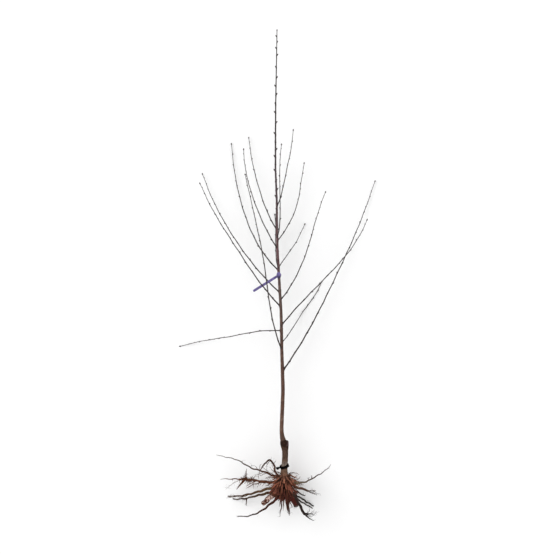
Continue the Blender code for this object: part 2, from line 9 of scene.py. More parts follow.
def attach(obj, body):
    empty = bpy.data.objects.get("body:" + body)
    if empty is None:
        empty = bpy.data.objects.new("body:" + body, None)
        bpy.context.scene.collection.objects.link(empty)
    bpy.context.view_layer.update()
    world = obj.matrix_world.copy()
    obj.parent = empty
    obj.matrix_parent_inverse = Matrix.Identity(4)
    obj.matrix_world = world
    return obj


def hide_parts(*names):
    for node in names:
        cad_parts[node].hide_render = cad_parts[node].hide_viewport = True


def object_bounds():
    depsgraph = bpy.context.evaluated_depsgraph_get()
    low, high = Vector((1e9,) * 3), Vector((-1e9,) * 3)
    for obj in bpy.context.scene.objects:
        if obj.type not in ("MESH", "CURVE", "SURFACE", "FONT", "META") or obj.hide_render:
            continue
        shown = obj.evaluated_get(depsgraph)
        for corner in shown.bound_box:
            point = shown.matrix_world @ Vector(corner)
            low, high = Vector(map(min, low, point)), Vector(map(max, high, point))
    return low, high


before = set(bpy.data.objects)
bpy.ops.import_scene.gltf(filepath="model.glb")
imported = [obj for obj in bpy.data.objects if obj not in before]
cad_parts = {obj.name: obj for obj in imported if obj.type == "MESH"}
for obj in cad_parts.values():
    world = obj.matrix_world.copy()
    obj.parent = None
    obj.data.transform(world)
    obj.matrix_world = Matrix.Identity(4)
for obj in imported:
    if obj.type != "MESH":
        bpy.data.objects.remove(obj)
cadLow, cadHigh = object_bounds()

noise.seed_set(2)  # the limbs waver the same way each time

print("frame loaded:", len(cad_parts), "nodes")

# Everything is in metres and degrees. The stem runs along +Y and lies above a floor at z = 0.

# The stem, from the cut foot of the crown to the tip: height above the collar, axis across X, radius.
stemRows = (
    (-0.084, 0.030, 0.0050), (-0.076, 0.030, 0.0100), (-0.055, 0.030, 0.0155), (-0.030, 0.030, 0.0190),
    (-0.008, 0.029, 0.0185), (0.012, 0.029, 0.0150), (0.032, 0.028, 0.0125), (0.072, 0.032, 0.0115),
    (0.112, 0.033, 0.0116), (0.128, 0.030, 0.0134), (0.148, 0.026, 0.0122), (0.168, 0.020, 0.0090),
    (0.192, 0.018, 0.0080), (0.272, 0.021, 0.0077), (0.352, 0.024, 0.0076), (0.424, 0.022, 0.0073),
    (0.512, 0.019, 0.0066), (0.592, 0.018, 0.0062), (0.672, 0.016, 0.0059), (0.752, 0.011, 0.0056),
    (0.824, 0.007, 0.0054), (0.912, 0.002, 0.0050), (0.992, 0.000, 0.0046), (1.112, -0.001, 0.0042),
    (1.232, -0.006, 0.0036), (1.380, -0.006, 0.0031), (1.512, -0.005, 0.0026), (1.672, -0.002, 0.0021),
    (1.792, 0.000, 0.0016),
)
stem = {
    "collarAlong": -0.815,  # where the collar is along Y
    "axisAtCollar": 0.105,  # the axis above the floor, at the collar
    "axisAtTip": 0.085,
    "length": 1.80,
    "leaderStart": 1.10,  # above here it carries buds and no shoots
}
groundGap = 0.0004  # under a limb that lies on the floor

# A limb: height of its foot, turn round the stem, leans off the stem's line, length, radius at its foot.
shootLimbs = {
    "shoot_right_1": (1.084, 60, (40, 23, 23, 8), 0.325, 0.0021),
    "shoot_left_1": (0.992, 215, (36, 23, 16, 7), 0.405, 0.0023),
    "shoot_front_1": (0.962, 76, (52, 6, -4, 4, 26), 0.385, 0.0022),
    "shoot_right_2": (0.948, -28, (41, 28, 10, 12), 0.345, 0.0020),
    "shoot_left_2": (0.918, 140, (40, 30, 20, 4), 0.430, 0.0023),
    "shoot_right_3": (0.842, -40, (38, 44, 36, 28), 0.225, 0.0018),
    "shoot_left_3": (0.830, 205, (48, 27, 14, 5), 0.570, 0.0026),
    "shoot_back_1": (0.820, 262, (30, 20, 24, 28), 0.260, 0.0018),
    "shoot_front_2": (0.836, 104, (54, 10, -4, -4), 0.255, 0.0019),
    "shoot_left_4": (0.742, 195, (48, 38, 30, 20), 0.585, 0.0026),
    "shoot_right_4": (0.712, 52, (52, 37, 24, 32), 0.510, 0.0024),
    "shoot_left_5": (0.685, 165, (44, 35, 33, 24), 0.590, 0.0026),
    "shoot_right_5": (0.612, 20, (41, 46, 42, 25), 0.550, 0.0026),
    "shoot_left_6": (0.590, 194, (88, 101, 99, 106), 0.430, 0.0021),
    "shoot_right_6": (0.541, -48, (52, 44, 48, 35), 0.345, 0.0018),
    "shoot_left_7": (0.514, 125, (33, 13, 20, 22), 0.730, 0.0027),
    "shoot_right_7": (0.428, -14, (36, 28, 25, 19), 0.860, 0.0030),
}
rootSides = {
    "left": (
        (-0.002, 165, (75, 65, 73, 57, 76, 78), 0.300, 0.0044),
        (0.006, 139, (88, 55, 12, 58, 132, 126), 0.178, 0.0036),
        (-0.020, 188, (86, 84, 89, 93), 0.265, 0.0068),
        (-0.026, 218, (80, 92, 104, 122), 0.200, 0.0040),
        (-0.031, 188, (92, 108, 103, 90), 0.240, 0.0074),
        (-0.046, 209, (102, 104, 106, 90), 0.246, 0.0072),
        (-0.054, 178, (130, 129, 125, 104, 84), 0.222, 0.0066),
        (-0.042, 146, (102, 112, 122, 124), 0.118, 0.0114),
    ),
    "right": (
        (0.000, 28, (112, 90, 62, 58, 42), 0.238, 0.0050),
        (-0.011, 12, (108, 115, 106, 106), 0.106, 0.0060),
        (-0.019, -25, (124, 125, 118, 118), 0.110, 0.0050),
        (-0.008, 57, (126, 120, 101, 99), 0.222, 0.0048),
        (-0.025, -60, (126, 122, 108, 108), 0.250, 0.0054),
        (-0.034, 2, (136, 150, 156), 0.098, 0.0125),
        (-0.015, 33, (126, 146, 145), 0.156, 0.0066),
    ),
    "low": (
        (-0.062, 222, (118, 178, 168, 173), 0.100, 0.0036),
        (-0.060, 66, (130, 168, 150, 159), 0.085, 0.0040),
        (-0.066, -30, (115, 172, 171, 175), 0.092, 0.0044),
    ),
    "upper": (
        (-0.010, 105, (110, 140, 150, 160), 0.120, 0.0058),
        (-0.014, 78, (110, 140, 155, 150), 0.110, 0.0050),
        (-0.044, 98, (125, 150, 165, 170), 0.090, 0.0046),
    ),
    "under": (
        (-0.004, 240, (95, 105, 112, 100), 0.160, 0.0056),
        (-0.030, 262, (100, 110, 120, 125), 0.150, 0.0060),
        (-0.004, 300, (95, 100, 110, 105), 0.165, 0.0056),
        (-0.050, 288, (115, 125, 135, 130), 0.135, 0.0046),
    ),
}
rootLimbs = {f"root_{side}_{number}": limb
             for side, limbs in rootSides.items() for number, limb in enumerate(limbs, 1)}

# Branches of the roots: share along the root, turn, lean at the foot and at the tip, length, radius.
branches = {
    "root_left_1": ((0.10, 150, (62, 76), 0.052, 0.0019), (0.06, 172, (80, 96), 0.060, 0.0022)),
    "root_left_3": ((0.59, 150, (5, -8), 0.042, 0.0018), (0.61, 190, (138, 143), 0.054, 0.0052),
                    (0.42, 192, (112, 124), 0.050, 0.0020)),
    "root_left_5": ((0.62, 180, (120, 98), 0.044, 0.0020),),
    "root_left_6": ((0.73, 180, (172, 180), 0.030, 0.0028),),
    "root_right_1": ((0.54, 30, (18, -14), 0.015, 0.0014),),
    "root_right_2": ((0.98, 12, (72, 98), 0.030, 0.0016), (0.98, 12, (128, 86), 0.040, 0.0015)),
    "root_right_7": ((0.97, 10, (92, 88), 0.036, 0.0032), (0.98, 22, (136, 104), 0.048, 0.0036)),
}


def between(rows, height, column):  # a row's value at a height, straight between rows
    for low, high in zip(rows, rows[1:]):
        if height <= high[0]:
            share = max(0.0, (height - low[0]) / (high[0] - low[0]))
            return low[column] + (high[column] - low[column]) * share
    return rows[-1][column]


def axisPoint(height):
    drop = stem["axisAtCollar"] + (stem["axisAtTip"] - stem["axisAtCollar"]) * height / stem["length"]
    return Vector((between(stemRows, height, 1), stem["collarAlong"] + height, drop))


def heading(lean, turn):
    lean, turn = math.radians(lean), math.radians(turn)
    return Vector((math.sin(lean) * math.cos(turn), math.cos(lean), math.sin(lean) * math.sin(turn)))


def smoothBetween(values, share):  # a smooth curve through values at equal steps
    place = min(max(share, 0.0), 0.9999) * (len(values) - 1)
    index = int(place)
    part = place - index
    before, start = values[max(index - 1, 0)], values[index]
    end, after = values[index + 1], values[min(index + 2, len(values) - 1)]
    bend = 2 * before - 5 * start + 4 * end - after
    twist = 3 * start - before - 3 * end + after
    return 0.5 * (2 * start + (end - before) * part + bend * part ** 2 + twist * part ** 3)


def limbPath(limb, rule, tipRadius, dice):  # points and radii from the stem's axis to the limb's tip
    height, turn, leans, length, radius = limb
    count = max(4, round(length / rule["step"]))
    points, radii = [axisPoint(height)], [radius]
    side = 1
    for number in range(count):
        lean = smoothBetween(leans, (number + 0.5) / count) + side * rule["kink"]
        wander = turn + dice.uniform(-rule["kink"], rule["kink"])
        side = -side
        point = points[-1] + heading(lean, wander) * (length / count)
        left = 1.0 - (number + 1) / count
        girth = tipRadius + (radius - tipRadius) * left ** rule["taper"]
        point.z = max(point.z, girth + groundGap)
        points.append(point)
        radii.append(girth)
    return points, radii


def finePath(points, radii, spacing):  # the same limb with many more points, and how far along each is
    finePoints, fineRadii, alongs, travelled = [], [], [], 0.0
    for index in range(len(points) - 1):
        length = (points[index + 1] - points[index]).length
        count = max(1, round(length / spacing))
        for number in range(count):
            share = (index + number / count) / (len(points) - 1)
            finePoints.append(smoothBetween(points, share))
            fineRadii.append(radii[index] + (radii[index + 1] - radii[index]) * number / count)
            alongs.append(travelled + length * number / count)
        travelled += length
    return finePoints + [points[-1].copy()], fineRadii + [radii[-1]], alongs + [travelled]


def swell(distance, width):  # a smooth hump of height 1
    return math.exp(-(distance / width) ** 2)


def settle(points, radii):  # no point below the floor
    for point, radius in zip(points, radii):
        point.z = max(point.z, radius * 1.1 + groundGap)


def deselectAll():
    for thing in list(bpy.context.selected_objects):
        thing.select_set(False)


def added(operator, name, **settings):  # what an operator adds, on its own and named
    deselectAll()
    operator(**settings)
    bpy.context.object.name = name
    return bpy.context.object


def makeActive(thing):
    deselectAll()
    bpy.context.view_layer.objects.active = thing
    thing.select_set(True)


def placeInMesh(thing):  # the object goes to the origin, and its place into its mesh
    makeActive(thing)
    bpy.ops.object.transform_apply(location=True, rotation=True, scale=True)


def weld(thing):
    makeActive(thing)
    bpy.ops.object.mode_set(mode="EDIT")
    bpy.ops.mesh.select_all(action="SELECT")
    bpy.ops.mesh.remove_doubles(threshold=0.00002)
    bpy.ops.mesh.normals_make_consistent(inside=False)
    bpy.ops.object.mode_set(mode="OBJECT")


def modify(thing, kind, **settings):
    modifier = thing.modifiers.new(kind.lower(), kind)
    for key, value in settings.items():
        setattr(modifier, key, value)
    makeActive(thing)
    bpy.ops.object.modifier_apply(modifier=modifier.name)


def joined(name, things):
    deselectAll()
    for thing in things:
        thing.select_set(True)
    bpy.context.view_layer.objects.active = things[0]
    if len(things) > 1:
        bpy.ops.object.join()
    things[0].name = name
    things[0].data.name = name
    return things[0]


def sweep(name, runs, sides):  # tubes along runs of points and radii, as one mesh with closed ends
    guide = added(bpy.ops.object.add, name, type="CURVE")
    curve = guide.data
    curve.dimensions = "3D"
    curve.bevel_depth = 1.0
    curve.bevel_resolution = sides // 2 - 2
    curve.use_fill_caps = True
    for points, radii in runs:
        spline = curve.splines.new("POLY")
        spline.points.add(len(points) - 1)
        for knot, point, radius in zip(spline.points, points, radii):
            knot.co = (*point, 1.0)
            knot.radius = radius
    makeActive(guide)
    bpy.ops.object.convert(target="MESH")
    tube = bpy.context.object
    weld(tube)
    return tube


def cutOff(thing, point, normal, rim=0.0):  # slices off what lies past a plane, and closes the face
    makeActive(thing)
    bpy.ops.object.mode_set(mode="EDIT")
    bpy.ops.mesh.select_all(action="SELECT")
    bpy.ops.mesh.bisect(plane_co=point, plane_no=normal, use_fill=True, clear_outer=True)
    if rim:
        bpy.ops.mesh.inset(thickness=rim, depth=0.0)
        bpy.ops.mesh.inset(thickness=rim * 0.4, depth=-rim * 0.4)
    bpy.ops.object.mode_set(mode="OBJECT")


def markPlaces(thing, places=None):  # the bark's own coordinates: across, along and deep, in metres
    places = places or [vertex.co for vertex in thing.data.vertices]
    spread = thing.data.attributes.new("barkPlace", "FLOAT_VECTOR", "POINT")
    spread.data.foreach_set("vector", [value for place in places for value in place])


# Straightens the bark's coordinates along a limb, and raises its relief.
def followLimb(thing, points, alongs, relief=None):
    finder = kdtree.KDTree(len(points))
    for index, point in enumerate(points):
        finder.insert(point, index)
    finder.balance()
    tangents, rights, ups = [], [], []
    right = Vector((1.0, 0.0, 0.0))
    for index in range(len(points)):
        ahead, behind = points[min(index + 1, len(points) - 1)], points[max(index - 1, 0)]
        tangent = (ahead - behind).normalized()
        right = right - tangent * right.dot(tangent)
        right = right.normalized() if right.length > 0.001 else tangent.orthogonal().normalized()
        tangents.append(tangent)
        rights.append(right.copy())
        ups.append(right.cross(tangent))
    places = []
    for vertex in thing.data.vertices:
        index = finder.find(vertex.co)[1]
        offset = vertex.co - points[index]
        ahead = offset.dot(tangents[index])
        flat = offset - tangents[index] * ahead
        place = Vector((flat.dot(rights[index]), alongs[index] + ahead, flat.dot(ups[index])))
        places.append(place)
        if relief and flat.length > 0.0001:
            vertex.co += flat.normalized() * relief(place, vertex.co, flat.length)
    markPlaces(thing, places)


def markShare(thing, name, shares):  # one number a vertex, 0 to 1, that a bark reads
    spread = thing.data.attributes.new(name, "FLOAT", "POINT")
    spread.data.foreach_set("value", shares)


def shelterOf(thing, reach):  # the share of the sky that each vertex doesn't see
    tree = bvhtree.BVHTree.FromPolygons([vertex.co for vertex in thing.data.vertices],
                                        [polygon.vertices for polygon in thing.data.polygons])
    dice = random.Random("shelter")
    ways = [Vector([dice.gauss(0, 1) for _ in range(3)]).normalized() for _ in range(9)]
    shares = []
    for vertex in thing.data.vertices:
        start = vertex.co + vertex.normal * 0.0006
        hits = 0
        for way in ways:
            toward = (way + vertex.normal * 1.1).normalized()
            hits += tree.ray_cast(start, toward, reach)[0] is not None
        shares.append(hits / len(ways))
    return shares


def ripple(place, size, stretch, shift):  # smooth noise on the bark's coordinates, -1 to 1
    return noise.noise(Vector((place.x / size, place.y / (size * stretch) + shift, place.z / size)))


def keepInside(thing):  # nothing sinks into the floor or leaves the outer box
    for vertex in thing.data.vertices:
        for axis in range(3):
            vertex.co[axis] = min(max(vertex.co[axis], cadLow[axis]), cadHigh[axis])


def finish(thing, nodes, material=None):  # a joined piece already has its materials
    keepInside(thing)
    if material:
        thing.data.materials.append(material)
    makeActive(thing)
    bpy.ops.object.shade_smooth_by_angle(angle=math.radians(45))
    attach(thing, "root")
    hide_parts(*nodes)


def linear(hexColour):  # sRGB hex to linear
    channels = [int(hexColour[start:start + 2], 16) / 255 for start in (1, 3, 5)]
    return (*[c / 12.92 if c <= 0.04045 else ((c + 0.055) / 1.055) ** 2.4 for c in channels], 1.0)


def setInputs(material, node, wires):  # links a socket, or sets a plain value
    for key, value in wires.items():
        if isinstance(value, bpy.types.NodeSocket):
            material.node_tree.links.new(value, node.inputs[key])
        else:
            node.inputs[key].default_value = value


def addNode(material, kind, wires=None, stops=(), output=0, **settings):  # gives one of its outputs
    made = material.node_tree.nodes.new("ShaderNode" + kind)
    for key, value in settings.items():
        setattr(made, key, value)
    setInputs(material, made, wires or {})
    for number, (position, colour) in enumerate(stops):
        elements = made.color_ramp.elements
        element = elements[number] if number < 2 else elements.new(position)
        element.position = position
        element.color = linear(colour) if isinstance(colour, str) else (colour, colour, colour, 1.0)
    return made.outputs[output]


def newMaterial(name, roughness, gloss=0.5):
    material = bpy.data.materials.new(name)
    material.use_nodes = True
    shader = material.node_tree.nodes["Principled BSDF"]
    setInputs(material, shader, {"Roughness": roughness, "Specular IOR Level": gloss})
    return material, shader


mixed = {"output": 2, "data_type": "RGBA"}  # a Mix of two colours


def speckledMaterial(name, look):  # two tones in a fine grain, with a fine bump
    material, shader = newMaterial(name, look["roughness"], look["gloss"])
    place = addNode(material, "TexCoord", output="Object")
    grain = addNode(material, "TexNoise", {"Vector": place, "Scale": look["grain"], "Detail": look["detail"]})
    colour = addNode(material, "ValToRGB", {"Fac": grain}, look["tones"])
    if "shade" in look:  # painted shade where the piece says so
        attribute, dark = look["shade"]
        share = addNode(material, "Attribute", output="Fac", attribute_name=attribute)
        colour = addNode(material, "Mix", {0: share, 6: colour, 7: linear(dark)}, **mixed)
    strength, distance = look["bump"]
    bump = addNode(material, "Bump", {"Height": grain, "Strength": strength, "Distance": distance})
    setInputs(material, shader, {"Base Color": colour, "Normal": bump})
    return material


def heightShare(height):  # where a height above the collar falls on the box's length
    return (stem["collarAlong"] + height - cadLow.y) / (cadHigh.y - cadLow.y)


def barkMaterial(name, look):
    material, shader = newMaterial(name, look["roughness"][0], look["gloss"])
    node = partial(addNode, material)
    place = node("TexCoord", output="Object")
    where = place if look.get("freeForm") else node("Attribute", output="Vector", attribute_name="barkPlace")
    # the colour changes with height up the tree
    along = node("SeparateXYZ", {0: place}, output="Y")
    share = node("MapRange", {"Value": along, "From Min": cadLow.y, "From Max": cadHigh.y})
    stops = [(heightShare(height), colour) for height, colour in look["colours"]]
    base = node("ValToRGB", {"Fac": share}, stops)
    # soft mottling, then long streaks, then patches of another tone
    mottle = node("TexNoise", {"Vector": where, "Scale": 1 / look["mottle"], "Detail": 5.0, "Roughness": 0.6})
    tone = node("MapRange", {"Value": mottle, "From Min": 0.3, "From Max": 0.7,
                             "To Min": 1 - look["mottleDepth"], "To Max": 1 + look["mottleDepth"]})
    toned = node("HueSaturation", {"Color": base, "Value": tone})
    long = node("Mapping", {"Vector": where, "Scale": (1.0, 1 / look["stretch"], 1.0)})
    streak = node("TexNoise", {"Vector": long, "Scale": 1 / look["streak"], "Detail": 4.0})
    streaks = node("ValToRGB", {"Fac": streak}, ((0.45, 0.0), (0.7, 1.0)))
    streaked = node("Mix", {0: streaks, 6: toned, 7: linear(look["streakColour"])}, **mixed)
    patch = node("TexNoise", {"Vector": where, "Scale": 1 / look["patch"], "Detail": 6.0, "Roughness": 0.65})
    patchStops = ((look["patchFrom"], 0.0), (look["patchFrom"] + 0.12, look["patchDepth"]))
    patches = node("ValToRGB", {"Fac": patch}, patchStops)
    patched = node("Mix", {0: patches, 6: streaked, 7: linear(look["patchColour"])}, **mixed)
    # breathing pores, wider than they are long
    wide = node("Mapping", {"Vector": where, "Scale": (1.0, look["poreStretch"], 1.0)})
    pore = node("TexVoronoi", {"Vector": wide, "Scale": 1 / look["poreSpacing"]})
    edge = look["poreSize"] / look["poreSpacing"]
    pores = node("ValToRGB", {"Fac": pore}, ((edge * 0.6, look["poreDepth"]), (edge, 0.0)))
    pored = node("Mix", {0: pores, 6: patched, 7: linear(look["poreColour"])}, **mixed)
    # painted shade in the hollows, from the shelter share; bare wood where the bark is cut, and pale speckled
    # wood colours on one root's upper side
    shelter = node("Attribute", output="Fac", attribute_name="shelter")
    deep = node("MapRange", {"Value": shelter, "From Min": 0.10, "From Max": 0.80})
    hollow = node("Mix", {0: deep, 6: pored, 7: linear(look["paintedHollowShade"])}, **mixed)
    bare = node("Attribute", output="Fac", attribute_name="bareWood")
    speckle = node("TexNoise", {"Vector": place, "Scale": 190.0, "Detail": 4.0})
    both = node("Math", {0: bare, 1: speckle}, operation="ADD")
    woodShown = node("MapRange", {"Value": both, "From Min": 1.0, "From Max": 1.1})
    wood = node("ValToRGB", {"Fac": speckle}, zip((0.35, 0.65), look["woodColours"]))
    old = node("MapRange", {"Value": bare, "From Min": 0.7, "From Max": 0.9, "To Max": 0.88})
    aged = node("Mix", {0: old, 6: wood, 7: linear(look["cutColour"])}, **mixed)
    shown = node("Mix", {0: woodShown, 6: hollow, 7: aged}, **mixed)
    rough = node("MapRange", {"Value": patch, "From Min": 0.3, "From Max": 0.7,
                              "To Min": look["roughness"][0], "To Max": look["roughness"][1]})
    # the skin's fine relief: streaks, then pores
    skin = node("Bump", {"Height": streak, "Strength": 0.5, "Distance": look["bump"]})
    warts = node("Bump", {"Height": pores, "Normal": skin, "Strength": 0.6, "Distance": look["bump"]})
    setInputs(material, shader, {"Base Color": shown, "Roughness": rough, "Normal": warts})
    return material


youngWood = {"gloss": 0.30, "woodColours": ("#6f5a4c", "#8f7866"), "cutColour": "#7c6658"}
# Smooth young bark of a fruit tree's main stem: thin cork over green, so a faint satin skin with pale
# breathing pores, browner low down and more purple where it is younger.
stemBark = barkMaterial("youngFruitBark", {
    "colours": ((0.14, "#42291b"), (0.20, "#583827"), (0.36, "#533426"), (0.60, "#533931"),
                (0.72, "#57453f"), (0.79, "#564440"), (0.83, "#604147"), (0.90, "#644348"),
                (1.05, "#5c454a"), (1.15, "#4c3b40")),
    "mottle": 0.012, "mottleDepth": 0.22, "streak": 0.0022, "stretch": 5.0, "streakColour": "#2f1f1b",
    "patch": 0.020, "patchFrom": 0.53, "patchDepth": 0.35, "patchColour": "#8a7466",
    "poreSpacing": 0.0065, "poreStretch": 1.8, "poreSize": 0.0012, "poreDepth": 0.7, "poreColour": "#937d6c",
    "roughness": (0.42, 0.72), "bump": 0.0005,
    **youngWood, "paintedHollowShade": "#1c120e",
})
# Bark of one-year whips: darker, tighter and glossier than the stem's, with small pale pores.
whipLooks = {
    "colours": ((0.40, "#302220"), (0.90, "#291e1e"), (1.30, "#241c1e"), (1.80, "#201a1b")),
    "mottle": 0.008, "mottleDepth": 0.25, "streak": 0.0012, "stretch": 6.0, "streakColour": "#221a1b",
    "patch": 0.015, "patchFrom": 0.56, "patchDepth": 0.22, "patchColour": "#665a59",
    "poreSpacing": 0.0040, "poreStretch": 1.4, "poreSize": 0.0007, "poreDepth": 0.6, "poreColour": "#80736a",
    "roughness": (0.36, 0.62), "bump": 0.0002,
    **youngWood, "paintedHollowShade": "#171112",
}
whipBark = barkMaterial("oneYearWhipBark", whipLooks)
# The leader's bark is as young and as tight, but plum brown and dusty low down.
leaderBark = barkMaterial("plumLeaderBark", {
    **whipLooks,
    "colours": ((1.10, "#4c3a40"), (1.28, "#42363a"), (1.42, "#302629"), (1.60, "#241d1f")),
})
# Rougher bark of the rootstock: grey cork on the shank, near black round the union, red brown and
# earthy where it spreads into the roots, with weathered grey wood on the old cut.
rootstockBark = barkMaterial("rootstockCorkBark", {
    "freeForm": True,  # its pattern follows no limb
    "colours": ((-0.16, "#4e2822"), (-0.078, "#633129"), (-0.050, "#804638"), (-0.018, "#a5634b"),
                (0.00, "#b5795f"), (0.018, "#83604c"), (0.030, "#6b5443"), (0.045, "#584336"),
                (0.052, "#978a7d"), (0.060, "#8c7f75"), (0.068, "#564235"), (0.115, "#4f3c31"),
                (0.124, "#220f08"), (0.155, "#1f0e07"), (0.17, "#402a1b")),
    "mottle": 0.010, "mottleDepth": 0.30, "streak": 0.0028, "stretch": 4.0, "streakColour": "#2b1810",
    "patch": 0.016, "patchFrom": 0.55, "patchDepth": 0.30, "patchColour": "#8a6a59",
    "poreSpacing": 0.0070, "poreStretch": 1.5, "poreSize": 0.0014, "poreDepth": 0.3, "poreColour": "#856d5d",
    "roughness": (0.66, 0.92), "bump": 0.0009,
    "gloss": 0.15, "paintedHollowShade": "#1a0905", "woodColours": ("#463333", "#685353"),
    "cutColour": "#463537",
})
# Root bark: red brown and matt, wrinkled along its length, with painted shade in the wrinkles' shelter, and
# pale pinkish wood where it is cut.
rootLooks = {
    "colours": ((-0.19, "#271814"), (-0.08, "#4c2619"), (-0.02, "#5b341f"), (0.06, "#43302a")),
    "mottle": 0.009, "mottleDepth": 0.35, "streak": 0.0016, "stretch": 5.0, "streakColour": "#27130c",
    "patch": 0.014, "patchFrom": 0.56, "patchDepth": 0.40, "patchColour": "#845f4b",
    "poreSpacing": 0.0060, "poreStretch": 2.2, "poreSize": 0.0011, "poreDepth": 0.4, "poreColour": "#876450",
    "roughness": (0.70, 0.95), "bump": 0.0006,
    "gloss": 0.15, "paintedHollowShade": "#1d0b06", "woodColours": ("#8a675d", "#e8cdc2"),
    "cutColour": "#33231d",
}
rootBark = barkMaterial("washedRootBark", rootLooks)
# Wet, dark red inner bark, where the outer bark was rubbed off in the digging, with painted shade that
# darkens it to near black towards its low end.
rubbedBarkAndShade = barkMaterial("rubbedRedBarkAndShade", {
    **rootLooks,
    "colours": ((-0.19, "#120a08"), (-0.116, "#170c09"), (-0.102, "#4c160f"), (-0.07, "#612419")),
    "patchColour": "#7a4436", "roughness": (0.5, 0.8), "woodColours": ("#3a2a22", "#5f4a3e"),
    "cutColour": "#33231b",
})
# Bark of the thin roots at the right: wet and almost black, browner where they leave the crown.
wetBark = barkMaterial("wetDarkRootBark", {
    **rootLooks,
    "colours": ((-0.19, "#120c0b"), (-0.10, "#1a110f"), (-0.07, "#241612"), (-0.048, "#3c251a"),
                (-0.03, "#694a37")),
    "patchColour": "#4b362d", "patchDepth": 0.25, "poreDepth": 0.25, "roughness": (0.5, 0.8),
})
# Olive, still living bark of the roots that lay nearest the light.
oliveBark = barkMaterial("oliveRootBark", {
    **rootLooks,
    "colours": ((-0.10, "#3b291e"), (-0.05, "#59402a"), (-0.022, "#68523a"), (-0.012, "#6a5e4b"),
                (0.004, "#52443c"), (0.05, "#45383a")),
    "patchColour": "#86775a",
})
barkOfRoot = {"root_left_5": oliveBark, "root_left_6": oliveBark, "root_right_1": oliveBark,
              "root_right_6": rubbedBarkAndShade, **{f"root_right_{number}": wetBark for number in (2, 3, 4, 5, 7)}}

studio = {
    "floorSide": 24.0,
    "floorColours": ("#f4f4f4", "#fbfbfb"), "floorGrain": 3.0, "floorDetail": 3.0,
    "cameraAt": (0.0, -0.011, 5.595),  # 5.5 above the stem's plane
    "lens": 89.35,  # the view spans 2.216 m at the stem
    "sees": 60.0,
    "sky": 0.84,
    "keyStrength": 1.30,
    "keyTurn": (-45.0, 0.0, 62.0),  # from the upper left
    "keySpread": 60.0,  # as wide as a big softbox, so its shadows are soft
}


def makeStudio():
    floor = added(bpy.ops.mesh.primitive_plane_add, "studioFloor", size=studio["floorSide"])
    paint, shader = newMaterial("mattWhiteFloorPaint", 0.9)  # a matt painted floor, faintly uneven
    place = addNode(paint, "TexCoord", output="Object")
    grain = addNode(paint, "TexNoise", {"Vector": place, "Scale": studio["floorGrain"],
                                        "Detail": studio["floorDetail"]})
    dark, pale = (linear(colour) for colour in studio["floorColours"])
    setInputs(paint, shader, {"Base Color": addNode(paint, "Mix", {0: grain, 6: dark, 7: pale}, **mixed)})
    floor.data.materials.append(paint)
    world = bpy.data.worlds.new("studioSky")
    world.use_nodes = True
    light = {"Color": (1.0, 1.0, 1.0, 1.0), "Strength": studio["sky"]}
    setInputs(world, world.node_tree.nodes["Background"], light)
    bpy.context.scene.world = world
    key = added(bpy.ops.object.light_add, "keyLight", type="SUN", location=(-2.0, 2.0, 4.0))
    key.data.energy = studio["keyStrength"]
    key.data.angle = math.radians(studio["keySpread"])
    key.rotation_euler = [math.radians(value) for value in studio["keyTurn"]]
    camera = added(bpy.ops.object.camera_add, "overheadCamera", location=studio["cameraAt"])
    camera.data.lens = studio["lens"]
    camera.data.clip_end = studio["sees"]
    bpy.context.scene.camera = camera
    bpy.context.scene.view_settings.view_transform = "Standard"


makeStudio()
print("studio made")

stemLook = {
    "start": 0.132,  # inside the union
    "spacing": 0.0010, "sides": 44,
    "round": 0.012,  # rounds the corners between the stem's rows
    "nodeSpacing": 0.031,  # of the sleeping buds
    "nodeRise": 0.0006, "nodeWidth": 0.0035, "nodeTurn": 38.0,
    "foldDepth": 0.0003, "foldOver": 0.005, "foldWidth": 0.0016,  # above each
    "collarRise": 0.0012, "collarTurn": 42.0, "collarWidth": 0.008,  # where a shoot leaves
    "scarRise": 0.0006, "scarWidth": 0.0035, "scarRings": 4200.0,  # where last year's growth ended
    "lump": (0.00035, 0.030, 1.0, 3.0),  # the slow unevenness: rise, size, stretch, shift
    "grain": ((0.00022, 0.006, 2.5, 11.0), (0.00012, 0.0022, 0.7, 5.0)),
    "fullRelief": 0.004,  # the radius from which the relief is full
}
leaderLook = {
    "spacing": 0.0014, "sides": 24,
    "grown": 1.35,  # its buds, against a shoot's
    "splay": 0.60,
    "swell": 0.16,  # of the wood under each bud
    # height above the collar and turn of each bud
    "buds": ((1.124, 180), (1.152, 8), (1.188, 300), (1.228, 176), (1.256, 95), (1.284, 184), (1.312, 0),
             (1.344, 250), (1.376, 180), (1.420, 0), (1.460, 172), (1.494, 120), (1.532, 35), (1.566, 178),
             (1.600, 4), (1.642, 220), (1.690, 15), (1.718, 168), (1.742, 50), (1.766, 200)),
}
budTurn = 144.0  # from one bud to the next, round its limb


def turnGap(turn, other):  # between two turns, in degrees
    return abs((turn - other + 180.0) % 360.0 - 180.0)


def grainOf(place, layers):  # layers of ripple: rise, size, stretch and shift of each
    return sum(rise * ripple(place, size, stretch, shift) for rise, size, stretch, shift in layers)


